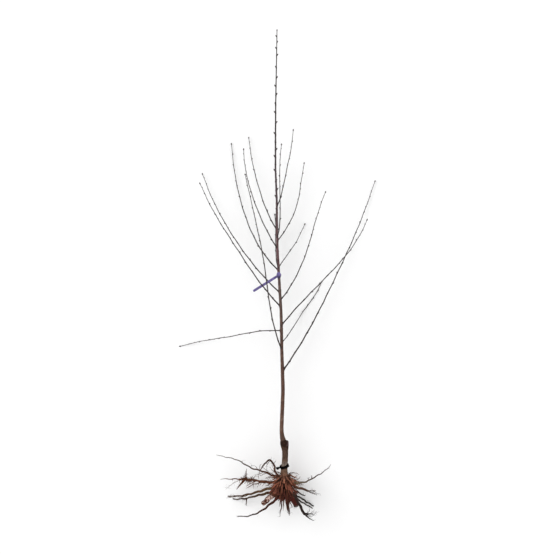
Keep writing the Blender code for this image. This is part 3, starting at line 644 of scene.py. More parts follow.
def stemRelief(place, point, radius):
    look = stemLook
    height = point.y - stem["collarAlong"]
    axis = axisPoint(height)
    turn = math.degrees(math.atan2(point.z - axis.z, point.x - axis.x))
    rise = grainOf(place, [look["lump"]]) + grainOf(place, look["grain"])
    number = round((height - look["start"]) / look["nodeSpacing"])
    above = height - (look["start"] + number * look["nodeSpacing"])
    near = swell(turnGap(turn, number * budTurn), look["nodeTurn"])
    rise += look["nodeRise"] * near * swell(above, look["nodeWidth"])
    rise -= look["foldDepth"] * near * swell(above - look["foldOver"], look["foldWidth"])
    for foot, limbTurn, leans, _, _ in shootLimbs.values():
        leaves = foot + radius / math.tan(math.radians(leans[0]))
        if abs(height - leaves) < 0.03:
            ring = swell(turnGap(turn, limbTurn), look["collarTurn"])
            rise += look["collarRise"] * ring * swell(height - leaves + 0.002, look["collarWidth"])
    past = height - stem["leaderStart"]
    rings = 0.4 * math.sin(height * look["scarRings"]) * swell(past, 0.006)
    rise += look["scarRise"] * (swell(past, look["scarWidth"]) + rings)
    return rise * min(1.0, radius / look["fullRelief"])


def stemRun(low, high, spacing):
    count = round((high - low) / spacing)
    heights = [low + (high - low) * number / count for number in range(count + 1)]
    blur = stemLook["round"]
    points, radii = [], []
    for height in heights:
        around = [height - blur, height - blur / 2, height, height + blur / 2, height + blur]
        around = [min(max(value, low), stemRows[-1][0]) for value in around]
        point = sum((axisPoint(value) for value in around), Vector()) / len(around)
        point.y = stem["collarAlong"] + height
        points.append(point)
        radii.append(sum(between(stemRows, value, 2) for value in around) / len(around))
    return points, radii, heights


def makeStem():
    points, radii, heights = stemRun(stemLook["start"], stem["leaderStart"] + 0.002, stemLook["spacing"])
    stemPiece = sweep("stemBark", [(points, radii)], stemLook["sides"])
    followLimb(stemPiece, points, heights, stemRelief)
    finish(stemPiece, ["stem"], stemBark)


makeStem()
print("stem made")

budLook = {
    "length": 0.0084, "radius": 0.0020, "tipLength": 0.0088, "tipRadius": 0.0028,
    "tipSunk": 0.0030, "tipGirth": 1.35,  # into its limb, and against the limb's radius
    "smallest": 0.72,  # a bud's size on the thinnest wood, against full size
    "fullAt": 0.009,  # the limb radius, scaled, at which it is full size
    "sink": 0.6,  # where its foot sits, as a share of the limb's radius
    "splay": 0.42,  # how far it leans off its limb
    "sides": 8, "rings": 9, "flat": 0.85,
}
# Bud scales: dead, dry and overlapped, near black with a dusty bloom.
budScales = speckledMaterial("dryBudScales", {
    "roughness": 0.6, "gloss": 0.5, "grain": 900.0, "detail": 3.0,
    "tones": ((0.35, "#1b1314"), (0.75, "#4a3a38")), "bump": (0.5, 0.0002),
})


def makeBudMaster():  # along +Z from its foot, one unit long and wide
    bud = added(bpy.ops.mesh.primitive_uv_sphere_add, "budMaster", segments=budLook["sides"],
                ring_count=budLook["rings"], radius=1.0)
    for vertex in bud.data.vertices:
        share = (vertex.co.z + 1.0) / 2
        width = 1.05 * math.sin(math.pi * min(1.0, share * 0.92 + 0.06)) ** 0.8 * (1.15 - 0.45 * share)
        scale = 1.0 + 0.10 * (1.0 if round(share * budLook["rings"]) % 2 else -1.0)  # the scales' edges
        around = Vector((vertex.co.x, vertex.co.y))
        if around.length > 0.001:
            around = around.normalized() * width * scale
        vertex.co = (around.x, around.y * budLook["flat"], share ** 1.15)
    weld(bud)
    markPlaces(bud)
    bud.data.materials.append(budScales)
    return bud


budMaster = makeBudMaster()


def placeBud(foot, direction, length, radius):
    bud = budMaster.copy()
    bud.data = budMaster.data.copy()
    bpy.context.scene.collection.objects.link(bud)
    turn = direction.to_track_quat("Z", "Y").to_matrix().to_4x4()
    bud.matrix_world = Matrix.Translation(foot) @ turn @ Matrix.Diagonal((radius, radius, length, 1.0))
    placeInMesh(bud)
    return bud


def sideBud(point, along, outward, limbRadius, grown=1.0, splay=budLook["splay"]):
    size = min(1.0, budLook["smallest"] + limbRadius / budLook["fullAt"]) * grown
    foot = point + outward * (limbRadius * budLook["sink"])
    direction = (along + outward * splay).normalized()
    return placeBud(foot, direction, budLook["length"] * size, budLook["radius"] * size)


def tipBud(points, radii):
    along = (points[-1] - points[-2]).normalized()
    return placeBud(points[-1] - along * budLook["tipSunk"], along, budLook["tipLength"],
                    max(radii[-1] * budLook["tipGirth"], budLook["tipRadius"]))


def makeLeader():
    points, radii, heights = stemRun(stem["leaderStart"] - 0.002, stemRows[-1][0], leaderLook["spacing"])
    buds = []
    for height, turn in leaderLook["buds"]:
        radius = between(stemRows, height, 2)
        buds.append(sideBud(axisPoint(height), Vector((0, 1, 0)), heading(90, turn), radius,
                            leaderLook["grown"], leaderLook["splay"]))
        for index, other in enumerate(heights):
            radii[index] *= 1.0 + leaderLook["swell"] * swell(other - height + 0.001, 0.0035)
    buds.append(tipBud([axisPoint(row[0]) for row in stemRows[-2:]], [row[2] for row in stemRows[-2:]]))
    leader = sweep("leaderBark", [(points, radii)], leaderLook["sides"])
    followLimb(leader, points, heights, stemRelief)
    leader.data.materials.append(leaderBark)
    finish(joined("leaderBark", [leader] + buds), ["stem"])


makeLeader()
print("leader made")

shootRule = {"step": 0.045, "kink": 1.5, "taper": 0.8}
shootLook = {
    "tipRadius": 0.0010, "spacing": 0.0025, "sides": 12,
    "nodeSwell": 0.22, "nodeWidth": 0.0035,
    "footSwell": 0.75, "footReach": 0.006,  # how much thicker it is where it leaves the stem
    "wander": 0.0004, "wanderSize": 0.025, "steady": 0.03,  # and how far from each end it grows
    "relief": ((0.05, 0.004, 2.0, 7.0), (0.03, 0.0012, 0.8, 2.0)),  # against its radius
    "extraFrom": 0.45,  # past this share of its length a bud also stands midway between two
    "extraTurn": 72.0, "extraSize": 0.8, "extraLift": 0.012,
}


def shootRelief(place, point, radius):
    return radius * grainOf(place, shootLook["relief"])


def sideways(along, turn):  # square to a direction, at a turn round it
    return Matrix.Rotation(turn, 3, along) @ along.orthogonal().normalized()


def sway(across, along, deep):  # a smooth random shift
    return noise.noise_vector(Vector((across, along, deep)))


def makeShoot(name, limb):
    look = shootLook
    dice = random.Random(name)
    points, radii = limbPath(limb, shootRule, look["tipRadius"], dice)
    turn = dice.uniform(0, 360)
    dense, girths, alongs = finePath(points, radii, look["spacing"])
    leaves = between(stemRows, limb[0], 2) / math.sin(math.radians(limb[2][0]))
    last = len(points) - 1
    step = alongs[-1] / last
    shift = dice.uniform(0, 50)
    for index, along in enumerate(alongs):
        node = round(along / step)
        wide = 1.0 + look["nodeSwell"] * swell(along - node * step, look["nodeWidth"]) * (0 < node < last)
        wide += look["footSwell"] * math.exp(-max(0.0, along - leaves) / look["footReach"])
        girths[index] *= wide
        free = min(1.0, along / look["steady"], (alongs[-1] - along) / look["steady"])
        dense[index] = dense[index] + sway(shift, along / look["wanderSize"], 0.0) * look["wander"] * free
    settle(dense, girths)
    wood = sweep(name + "Bark", [(dense, girths)], look["sides"])
    followLimb(wood, dense, alongs, shootRelief)
    wood.data.materials.append(whipBark)
    buds = []
    for number in range(1, last):
        along = (points[number + 1] - points[number - 1]).normalized()
        outward = sideways(along, math.radians(turn + budTurn * number))
        if points[number].z < budLook["length"] and outward.z < 0:
            outward = -outward
        buds.append(sideBud(points[number], along, outward, radii[number]))
        if number / last > look["extraFrom"] and points[number].z > look["extraLift"]:
            middle = smoothBetween(points, (number + 0.5) / last)
            aside = Matrix.Rotation(math.radians(look["extraTurn"]), 3, along) @ -outward
            buds.append(sideBud(middle, along, aside, radii[number], look["extraSize"]))
    buds.append(tipBud(points, radii))
    finish(joined(name + "Bark", [wood] + buds), [name])


for shootName, shootLimb in shootLimbs.items():
    makeShoot(shootName, shootLimb)
print("shoots made:", len(shootLimbs))

rootRule = {"step": 0.020, "kink": 7.0, "taper": 1.2}
rootLook = {
    "tipRadius": 0.0011,
    # severed or broken off thick: radius there; the first three show their wood
    "brokenRoots": {"root_left_8": 0.0098, "root_right_2": 0.0042, "root_right_6": 0.0100,
                    "root_left_5": 0.0022, "root_left_6": 0.0020, "root_left_7": 0.0016,
                    "root_right_3": 0.0020, "root_right_4": 0.0022, "root_right_5": 0.0022,
                    "root_right_7": 0.0052},
    "cutRoots": ("root_left_8", "root_right_2", "root_right_6"),
    "cutSlant": 28.0, "cutBack": 0.62, "cutRim": 0.0013,  # off square, radii from the end, its bevel
    "spacing": 0.0016, "sides": 14,
    "startsAt": 0.026,  # along its path, inside the crown
    "wander": 0.0012, "wanderSize": 0.011, "steady": 0.02,
    "girthChange": 0.13, "girthSize": 0.012,
    "knuckle": 0.20, "knuckleWidth": 0.004,  # where a rootlet leaves
    "relief": ((0.10, 0.0030, 5.0, 4.0), (0.05, 0.0040, 0.45, 9.0), (0.04, 0.0012, 1.0, 1.0)),
    "woodShown": ("root_left_8", 0.46, 0.94),  # pale speckled wood colours on its upper side, strongest where it faces up, between these shares
    # how far two roots that cross are moved apart, across and along
    "drift": {"root_right_4": (-0.0010, -0.0035), "root_right_5": (0.0050, 0.0035)}, "driftReach": 0.08,
    # how much thicker at the tip
    "stout": {"root_left_2": 1.3, "root_low_1": 0.3, "root_low_2": 0.9, "root_low_3": 0.9},
}
rootletLook = {
    "on": ("root_left_2", "root_left_3", "root_left_4", "root_under_1", "root_under_2", "root_under_3",
           "root_under_4"),
    "start": 0.35, "reach": 0.95,  # the shares of a root's length that carry rootlets
    "spacing": 0.030, "length": (0.023, 0.046), "radii": (0.0011, 0.0010, 0.0008, 0.0007),
    "pull": (0.3, 0.65, 1.0),  # how far each of its steps turns along the root
    "clearance": 0.0015, "testSpacing": 0.004,
    "sides": 8, "fineSpacing": 0.0022, "wander": 0.0008,
    "taper": (1.3, 0.85, 0.5),  # of its radii at the foot, between and at the tip
    "worn": 0.55,  # what is left of them on the roots that aren't hairy
    "tuftRoot": "root_left_3", "tuftStart": 0.52, "tuftStep": 0.012, "tuftCount": 8,
}
branchRule = {"steps": 5, "tip": 0.0008, "spacing": 0.0020, "wander": 0.0011, "flare": 0.5,
              "girthChange": 0.25, "hairSpacing": 0.008}
tuft = {"root": "root_left_3", "count": 200, "between": (0.47, 0.65), "grown": 0.85, "girth": 2.3}
# Fine roots that leave a root on their own way: share along it, lean at the foot and at the tip, turn,
# length, radius.
strays = {
    "root_left_1": ((0.22, 28, 64, 170, 0.042, 0.0010), (0.30, 122, 98, 180, 0.044, 0.0010),
                    (0.17, 60, 20, 175, 0.030, 0.0010), (0.14, 45, 84, 160, 0.040, 0.0013),
                    (0.24, 98, 125, 190, 0.036, 0.0012), (0.33, 50, -30, 160, 0.032, 0.0010),
                    (0.40, 20, 110, 170, 0.034, 0.0009), (0.36, 160, 178, 190, 0.034, 0.0011)),
    "root_left_2": ((0.30, 70, 20, 175, 0.030, 0.0012), (0.62, 120, 190, 185, 0.038, 0.0011)),
    "root_left_3": ((0.56, 34, 18, 170, 0.028, 0.0011), (0.66, 116, 126, 200, 0.084, 0.0009),
                    (0.52, 60, 40, 10, 0.026, 0.0011), (0.61, 136, 142, 190, 0.050, 0.0032),
                    (0.615, 150, 134, 190, 0.040, 0.0028), (0.59, 10, -6, 150, 0.034, 0.0020)),
    "root_left_5": ((0.84, 76, 96, 180, 0.034, 0.0014), (0.90, 108, 96, 180, 0.026, 0.0016)),
    "root_left_6": ((0.70, 125, 60, 190, 0.044, 0.0016), (0.72, 135, 50, 200, 0.030, 0.0012)),
    "root_right_1": ((0.50, 60, 30, 150, 0.014, 0.0010),),
    "root_right_2": ((0.98, 60, 130, 10, 0.034, 0.0012), (0.98, 112, 60, 0, 0.032, 0.0012),
                     (0.97, 110, 92, 5, 0.052, 0.0009)),
    "root_right_7": ((0.98, 80, -10, 10, 0.044, 0.0012), (0.99, 96, 30, 20, 0.048, 0.0012),
                     (0.99, 130, 20, 0, 0.060, 0.0010), (0.99, 110, 60, 10, 0.050, 0.0011)),
}
strayRule = {"steps": 8, "leanWander": 9, "turnWander": 12, "taper": 0.11, "hairSpacing": 0.006, "grown": 0.7}
fibreLook = {
    "spacing": 0.0065,  # along a root, between the finest fibres
    "hairy": ("root_left_2", "root_under_1", "root_under_2", "root_under_3", "root_under_4"),
    "cleanSpacing": 3.0,  # times wider on the other roots
    "length": (0.008, 0.026), "radius": 0.00042, "steps": 7, "curl": 0.55,
    "taper": 0.7,
    "margin": 0.002,  # inside the outer box
}


def withTests(points, radii):  # points close enough together to test distances from
    more, widths = [], []
    for start, end, wide, narrow in zip(points, points[1:], radii, radii[1:]):
        count = max(1, math.ceil((end - start).length / rootletLook["testSpacing"]))
        for number in range(count):
            more.append(start.lerp(end, number / count))
            widths.append(wide + (narrow - wide) * number / count)
    return more + [points[-1]], widths + [radii[-1]]


def tooNear(points, radii, placed, ownName):
    return any((point - other).length < radius + otherRadius + rootletLook["clearance"]
               for name, others, otherRadii in placed if name != ownName
               for other, otherRadius in zip(others, otherRadii)
               for point, radius in zip(points, radii))


def inBox(point, margin):  # keeps a fine root off the outer box
    point.x = min(max(point.x, cadLow.x + margin), cadHigh.x - margin)
    point.y = max(point.y, cadLow.y + margin)


def rootletPath(start, along, dice):
    outward = sideways(along, dice.uniform(0, 2 * math.pi))
    step = dice.uniform(*rootletLook["length"]) / len(rootletLook["pull"])
    points = [start.copy()]
    for pull, radius in zip(rootletLook["pull"], rootletLook["radii"][1:]):
        point = points[-1] + (outward + along * pull).normalized() * step
        point.z = max(point.z, radius + groundGap)
        points.append(point)
    return points, list(rootletLook["radii"])


def rootletStarts(name, length):
    look = rootletLook
    if name not in look["on"]:
        return []
    count = int(length * (look["reach"] - look["start"]) / look["spacing"])
    starts = [look["start"] + look["spacing"] / length * number for number in range(count)]
    if name == look["tuftRoot"]:
        starts += [look["tuftStart"] + look["tuftStep"] * number for number in range(look["tuftCount"])]
    return starts


def fibrePath(start, outward, along, dice, grown=1.0):  # a hair root that wavers and sinks a little
    look = fibreLook
    step = dice.uniform(*look["length"]) * grown / look["steps"]
    direction = (outward + along * dice.uniform(0.1, 0.8)).normalized()
    points, radii = [start.copy()], [look["radius"]]
    for number in range(look["steps"]):
        bend = Vector((dice.uniform(-1, 1), dice.uniform(-1, 1), dice.uniform(-1, 0.7))) * look["curl"]
        direction = (direction + bend).normalized()
        point = points[-1] + direction * step
        radius = look["radius"] * (1.0 - look["taper"] * (number + 1) / look["steps"])
        inBox(point, look["margin"])
        point.z = max(point.z, radius + groundGap)
        points.append(point)
        radii.append(radius)
    return points, radii


def nearestStretch(points, share):  # the point at a share of a path, and the way it runs there
    place = share * (len(points) - 1)
    index = min(int(place), len(points) - 2)
    start, end = points[index], points[index + 1]
    return start.lerp(end, place - index), (end - start).normalized()


# Hair roots that leave a path between two shares of it.
def hairsOn(points, low, high, dice, count, grown=1.0):
    hairs = []
    for _ in range(count):
        start, along = nearestStretch(points, dice.uniform(low, high))
        hairs.append(fibrePath(start, sideways(along, dice.uniform(0, 2 * math.pi)), along, dice, grown))
    return hairs


def rootRelief(place, point, radius):  # furrows along it, creases across it, and grain
    return radius * grainOf(place, rootLook["relief"])


def bareShare(name, vertex, points, alongs, cutPoint, slant, radius):
    offset = vertex.co - cutPoint
    if abs(offset.dot(slant)) < radius * 0.12 and offset.length < radius * 0.95:
        return 1.0
    woodShown, low, high = rootLook["woodShown"]
    if name != woodShown or vertex.normal.z < 0.0:
        return 0.0
    index = min(range(len(points)), key=lambda number: (points[number] - vertex.co).length_squared)
    share = alongs[index] / alongs[-1]
    return 0.54 * min(1.0, vertex.normal.z * 1.6) * max(0.0, min(1.0, (share - low) * 8, (high - share) * 8))


def branchPath(rootPoints, branch):
    share, turn, leans, length, radius = branch
    steps, tip = branchRule["steps"], branchRule["tip"]
    points, radii = [nearestStretch(rootPoints, share)[0]], [radius]
    for number in range(steps):
        lean = leans[0] + (leans[1] - leans[0]) * (number + 0.5) / steps
        point = points[-1] + heading(lean, turn) * (length / steps)
        girth = tip + (radius - tip) * (1.0 - (number + 1) / steps)
        point.z = max(point.z, girth + groundGap)
        points.append(point)
        radii.append(girth)
    return points, radii


def strayRuns(name, points, shapes):  # a root's named fine roots, and the dense brush if it carries one
    rule = strayRule
    fine, hairs = [], []
    if name == tuft["root"]:
        for path, radii in hairsOn(points, *tuft["between"], shapes, tuft["count"], tuft["grown"]):
            hairs.append((path, [radius * tuft["girth"] for radius in radii]))
    for share, leanFoot, leanTip, turn, length, radius in strays.get(name, ()):
        limb = [nearestStretch(points, share)[0]]
        for step in range(rule["steps"]):
            lean = leanFoot + (leanTip - leanFoot) * step / (rule["steps"] - 1)
            lean += shapes.uniform(-rule["leanWander"], rule["leanWander"])
            aside = turn + shapes.uniform(-rule["turnWander"], rule["turnWander"])
            limb.append(limb[-1] + heading(lean, aside) * length / rule["steps"])
        girths = [radius * (1.15 - rule["taper"] * step) for step in range(rule["steps"] + 1)]
        dense, girths, _ = finePath(limb, girths, 0.003)
        for point in dense:
            inBox(point, 0.003)
        settle(dense, girths)
        fine.append((dense, girths))
        hairs += hairsOn(dense, 0.2, 1.0, shapes, round(length / rule["hairSpacing"]), rule["grown"])
    return fine, hairs


def placeRootlets(name, limb, points, placed):  # those that stay clear of the other roots, and their feet
    dice = random.Random(name + " rootlets")
    feet, fine = [], []
    for share in rootletStarts(name, limb[3]):
        finePoints, fineRadii = rootletPath(*nearestStretch(points, share), dice)
        tested = withTests(finePoints[1:], fineRadii[1:])
        if not tooNear(*tested, placed, name):
            fine.append((finePoints, fineRadii))
            feet.append(share)
            placed.append((name, *tested))
    return feet, fine


def rootWood(name, length, feet, dense, girths, alongs, shift):  # the root itself, with its cut end
    look = rootLook
    cut = name in look["cutRoots"]
    endGirth = girths[-1]
    drift = Vector((*look["drift"].get(name, (0.0, 0.0)), 0.0))
    for index, along in enumerate(alongs):
        share = along / alongs[-1]
        left = alongs[-1] - along
        free = min(1.0, (along - alongs[0]) / look["steady"], left / look["steady"])
        swayed = sway(shift, along / look["wanderSize"], 2.0) * look["wander"] * free
        dense[index] = dense[index] + swayed + drift * min(1.0, along / look["driftReach"])
        wide = 1.0 + look["girthChange"] * noise.noise(Vector((along / look["girthSize"], shift, 1.0)))
        wide *= 1.0 + look["stout"].get(name, 0.0) * share
        for foot in feet:
            wide += look["knuckle"] * swell((share - foot) * length, look["knuckleWidth"])
        if name in look["brokenRoots"] and not cut:
            wide *= min(1.0, 0.1 + left / endGirth) ** 0.5
        elif not cut:
            wide *= 0.35 + 0.65 * min(1.0, left / 0.020)
        girths[index] *= wide
    settle(dense, girths)
    main = sweep(name + "Bark", [(dense, girths)], look["sides"] * (2 if cut else 1))
    if cut:
        along = (dense[-1] - dense[-4]).normalized()
        slant = Matrix.Rotation(math.radians(look["cutSlant"]), 3, along.cross(Vector((0, 0, 1)))) @ along
        cutPoint = dense[-1] - along * girths[-1] * look["cutBack"]
        cutOff(main, cutPoint, slant, min(look["cutRim"], endGirth * 0.2))
    followLimb(main, dense, alongs, rootRelief)
    if cut:
        markShare(main, "bareWood", [bareShare(name, vertex, dense, alongs, cutPoint, slant, girths[-1])
                                     for vertex in main.data.vertices])
    return main


def rootletRun(finePoints, fineRadii, kept, shift):  # one rootlet, of which a share is kept
    foot, middle, tip = rootletLook["taper"]
    tapered = [fineRadii[0] * foot] + [radius * middle for radius in fineRadii[1:-1]] + [fineRadii[-1] * tip]
    thin, radii, alongs = finePath(finePoints, tapered, rootletLook["fineSpacing"])
    for index, along in enumerate(alongs):
        free = min(1.0, along / 0.008)
        thin[index] = thin[index] + sway(along / 0.006, shift, fineRadii[0]) * rootletLook["wander"] * free
    count = max(4, round(len(thin) * kept))
    thin, radii = thin[:count], [radius * (1.0 - 0.6 * n / count) for n, radius in enumerate(radii[:count])]
    settle(thin, radii)
    return thin, radii


def branchRun(points, branch, shift):
    rule = branchRule
    thin, radii, alongs = finePath(*branchPath(points, branch), rule["spacing"])
    for index, along in enumerate(alongs):
        swayed = sway(along / 0.009, shift, branch[0] * 50)
        thin[index] = thin[index] + swayed * rule["wander"] * min(1.0, along / 0.012)
        radii[index] *= 1.0 + rule["girthChange"] * noise.noise(Vector((along / 0.005, shift, 7.0)))
        radii[index] *= 1.0 + rule["flare"] * math.exp(-along / 0.004)
    settle(thin, radii)
    return thin, radii


def makeRoot(name, limb, path, placed):
    points, radii = path
    feet, fine = placeRootlets(name, limb, points, placed)
    shapes = random.Random(name + " shape")
    shift = shapes.uniform(0, 90)
    dense, girths, alongs = finePath(points, radii, rootLook["spacing"])
    first = next(index for index, along in enumerate(alongs) if along >= rootLook["startsAt"])
    dense, girths, alongs = dense[first:], girths[first:], alongs[first:]
    main = rootWood(name, limb[3], feet, dense, girths, alongs, shift)
    hairy = name in fibreLook["hairy"]
    rootlets, hairs = [], []
    for finePoints, fineRadii in fine:
        run = rootletRun(finePoints, fineRadii, 1.0 if hairy else rootletLook["worn"], shift)
        rootlets.append(run)
        hairs += hairsOn(run[0], 0.25, 0.98, shapes, 2 if hairy else 1, 0.5)
    spacing = fibreLook["spacing"] * (1.0 if hairy else fibreLook["cleanSpacing"])
    hairs += hairsOn(dense, 0.20, 0.99, shapes, int(limb[3] * 0.65 / spacing))
    for branch in branches.get(name, ()):
        run = branchRun(points, branch, shift)
        rootlets.append(run)
        hairs += hairsOn(run[0], 0.2, 1.0, shapes, round(branch[3] / branchRule["hairSpacing"]), 0.6)
    moreFine, moreHairs = strayRuns(name, points, shapes)
    parts = [main]
    for part, runs, sides in (("Rootlets", rootlets + moreFine, rootletLook["sides"]),
                              ("Hairs", hairs + moreHairs, 4)):
        if runs:
            brush = sweep(name + part, runs, sides)
            markPlaces(brush)
            parts.append(brush)
    finish(joined(name + "Bark", parts), [name], barkOfRoot.get(name, rootBark))


rootPaths, placedRoots = {}, []
for rootName, rootLimb in rootLimbs.items():
    tipGirth = rootLook["brokenRoots"].get(rootName, rootLook["tipRadius"])
    rootPaths[rootName] = limbPath(rootLimb, rootRule, tipGirth, random.Random(rootName))
    placedRoots.append((rootName, *withTests(*rootPaths[rootName])))
    for rootBranch in branches.get(rootName, ()):
        placedRoots.append((rootName, *withTests(*branchPath(rootPaths[rootName][0], rootBranch))))
for rootName, rootLimb in rootLimbs.items():
    makeRoot(rootName, rootLimb, rootPaths[rootName], placedRoots)
print("roots made:", len(rootLimbs))

# The rootstock: crown, shank and union as one skin.
rootstockLook = {
    "voxel": 0.00118, "soften": 2, "sides": 16, "spacing": 0.004,
    "low": -0.084, "high": 0.158,
    "girth": 1.05, "unionSwell": 0.14, "unionHeight": 0.140, "unionReach": 0.020,
    "topShare": 0.72,  # of the radius, where it goes into the stem
    "core": 0.86, "coreTop": 0.012,  # the crown's core, against the stem's radius there; ribs stand on it
    "buttressUp": 0.034,  # how far up the shank a root's rib starts
    "ribFeet": ((1.0, 0.62, 0.45), (0.4, 0.85, 0.85)),  # shares of that rise, the shank's radius, the root's
    "baseFrom": 0.016, "baseReach": 0.060,  # where a root's base runs before it is the root alone
    "baseGirth": 1.40, "baseTaper": 0.62,
    "rough": 0.0009, "roughSize": 0.0045, "roughDepth": 3,
    "shelterReach": 0.03,
}
knobLook = {
    "foot": 0.104, "aside": (0.0004, 0.0, 0.0012), "length": 0.048, "lean": 4.0, "turn": 40.0, "sides": 24,
    "radii": ((0, 0.0108), (0.3, 0.0117), (0.6, 0.0119), (0.85, 0.0112), (0.97, 0.0096), (1, 0.0066)),
    "cutAlong": 0.034, "cutOut": 0.0050,  # where the old cut crosses the knob, and how far off its middle
    "cutWay": (0.40, (0.10, 0.0, 0.90)),  # its normal: a share of the knob's own line, and the rest
    "woodDepth": 0.0011, "woodReach": 0.012,  # what counts as the cut's face
}
# The crown's own short roots fan out from high and sideways to low and straight down; finer ones fill in.
fans = {
    "thick": {"seed": "fan", "count": 20, "firstTurn": 90.0, "heights": (0.006, -0.052),
              "leans": (106.0, 172.0), "bend": 10.0, "lengths": (0.056, 0.082, 0.070, 0.038),
              "radius": 0.0062, "tip": 0.0026, "kink": 4.0},
    "fine": {"seed": "fine", "count": 96, "firstTurn": 20.0, "heights": (0.016, -0.056),
             "leans": (100.0, 172.0), "bend": 14.0, "lengths": (0.058, 0.080, 0.058, 0.024),
             "radius": 0.0036, "tip": 0.0011, "kink": 9.0},
}
fanRule = {"turn": 137.5, "taper": 0.9, "spacing": 0.003, "wander": 0.0022, "girthChange": 0.22}


def fanPaths(look):
    rule = {"step": rootRule["step"], "kink": look["kink"], "taper": fanRule["taper"]}
    for number in range(look["count"]):
        share = (number + 0.5) / look["count"]
        height, lean = (low + (high - low) * share for low, high in (look["heights"], look["leans"]))
        leans = (lean - look["bend"], lean, lean + look["bend"] / 2)
        turn = look["firstTurn"] + fanRule["turn"] * number
        limb = (height, turn, leans, smoothBetween(look["lengths"], share), look["radius"])
        yield limbPath(limb, rule, look["tip"], random.Random(f"{look['seed']} {number}"))


def fanRun(path, girths, shift):
    dense, thick, alongs = finePath(path, girths, fanRule["spacing"])
    for index, along in enumerate(alongs):
        swayed = sway(shift, along / 0.014, 5.0) * fanRule["wander"] * min(1.0, along / 0.03)
        dense[index] = dense[index] + swayed
        thick[index] *= 1.0 + fanRule["girthChange"] * noise.noise(Vector((along / 0.009, shift, 3.0)))
        thick[index] *= 0.45 + 0.55 * min(1.0, (alongs[-1] - along) / 0.016)
    return dense, thick


def ribRun(limb, path, girths):  # a root's base, from a rib on the shank outwards
    look = rootstockLook
    height, turn, _, _, girth = limb
    shank = between(stemRows, height + look["buttressUp"], 2)
    rib, ribGirths = [], []
    for rise, out, thickness in look["ribFeet"]:
        rib.append(axisPoint(height + look["buttressUp"] * rise) + heading(90, turn) * shank * out)
        ribGirths.append(girth * thickness)
    for point, radius, along in zip(*finePath(path, girths, look["spacing"])):
        if look["baseFrom"] < along < look["baseReach"]:
            rib.append(point)
            share = along / look["baseReach"]
            ribGirths.append(radius * (look["baseGirth"] - look["baseTaper"] * share ** 2))
    return finePath(rib, ribGirths, 0.003)[:2]


def makeKnob():  # the rootstock's stub above the graft, cut off at a slant
    look = knobLook
    foot = axisPoint(look["foot"]) + Vector(look["aside"])
    way = heading(look["lean"], look["turn"])
    points = [foot + way * look["length"] * share for share, _ in look["radii"]]
    knob = sweep("graftKnob", [(points, [radius for _, radius in look["radii"]])], look["sides"])
    along, rest = look["cutWay"]
    normal = (way * along + Vector(rest)).normalized()
    centre = foot + way * look["cutAlong"] + normal * look["cutOut"]
    cutOff(knob, centre, normal)
    return knob, centre, normal


def makeRootstock():
    look = rootstockLook
    points, radii, _ = stemRun(look["low"], look["high"], look["spacing"])
    for index, point in enumerate(points):
        height = point.y - stem["collarAlong"]
        core = look["core"] if height < look["coreTop"] else 1.0
        swollen = 1.0 + look["unionSwell"] * swell(height - look["unionHeight"], look["unionReach"])
        radii[index] = radii[index] * look["girth"] * core * swollen
    for index in (-1, -2):
        radii[index] *= look["topShare"]
    runs = [(points, radii)] + [ribRun(limb, *rootPaths[name]) for name, limb in rootLimbs.items()]
    shapes = random.Random("fan shape")
    for fan in fans.values():
        runs += [fanRun(path, girths, shapes.uniform(0, 90)) for path, girths in fanPaths(fan)]
    crown = sweep("rootstockBark", runs, look["sides"])
    knob, centre, normal = makeKnob()
    crown = joined("rootstockBark", [crown, knob])
    modify(crown, "REMESH", mode="VOXEL", voxel_size=look["voxel"])
    modify(crown, "SMOOTH", factor=0.5, iterations=look["soften"])
    cloud = bpy.data.textures.new("corkCloud", "CLOUDS")
    cloud.noise_scale = look["roughSize"]
    cloud.noise_depth = look["roughDepth"]
    modify(crown, "DISPLACE", texture=cloud, strength=look["rough"], mid_level=0.5)
    # painted shade: the bark darkens where a vertex sees little of the sky
    markShare(crown, "shelter", shelterOf(crown, look["shelterReach"]))
    bare = []
    for vertex in crown.data.vertices:
        offset = vertex.co - centre
        out = offset.dot(normal)
        onCut = abs(out) < knobLook["woodDepth"] and (offset - normal * out).length < knobLook["woodReach"]
        bare.append(1.0 if onCut and vertex.normal.dot(normal) > 0.75 else 0.0)
    markShare(crown, "bareWood", bare)
    finish(crown, ["stem"], rootstockBark)


makeRootstock()
print("rootstock made")

crownFibreLook = {
    "perRoot": 4, "between": (0.35, 1.0),
    # long curly ones to both sides, just under the tie
    "long": 46, "spread": 50, "heights": (-0.004, 0.022), "leans": (60, 110), "grown": 1.5, "sunk": 0.9,
    "sides": 6,
}
# Curly fine roots beside the shank's foot: the same five values as a limb.
curls = (
    (0.006, 10, (70, 48, 95, 112), 0.064, 0.0014), (0.000, 8, (92, 104, 92, 70, 15), 0.072, 0.0015),
    (0.004, -20, (80, 60, 100), 0.056, 0.0012), (0.002, 30, (75, 95, 40), 0.060, 0.0011),
    (0.016, 170, (60, 78, 96), 0.046, 0.0015), (0.012, 176, (95, 78, 104, 118), 0.060, 0.0014),
    (0.006, 172, (72, 88, 66), 0.068, 0.0015), (0.010, 150, (70, 50, 90), 0.050, 0.0013),
    (0.004, 190, (80, 100, 84), 0.064, 0.0014), (0.000, 160, (70, 80, 95), 0.072, 0.0015),
)
curlRule = {"step": 0.007, "kink": 9.0, "taper": 0.7, "tip": 0.0007, "spacing": 0.002}


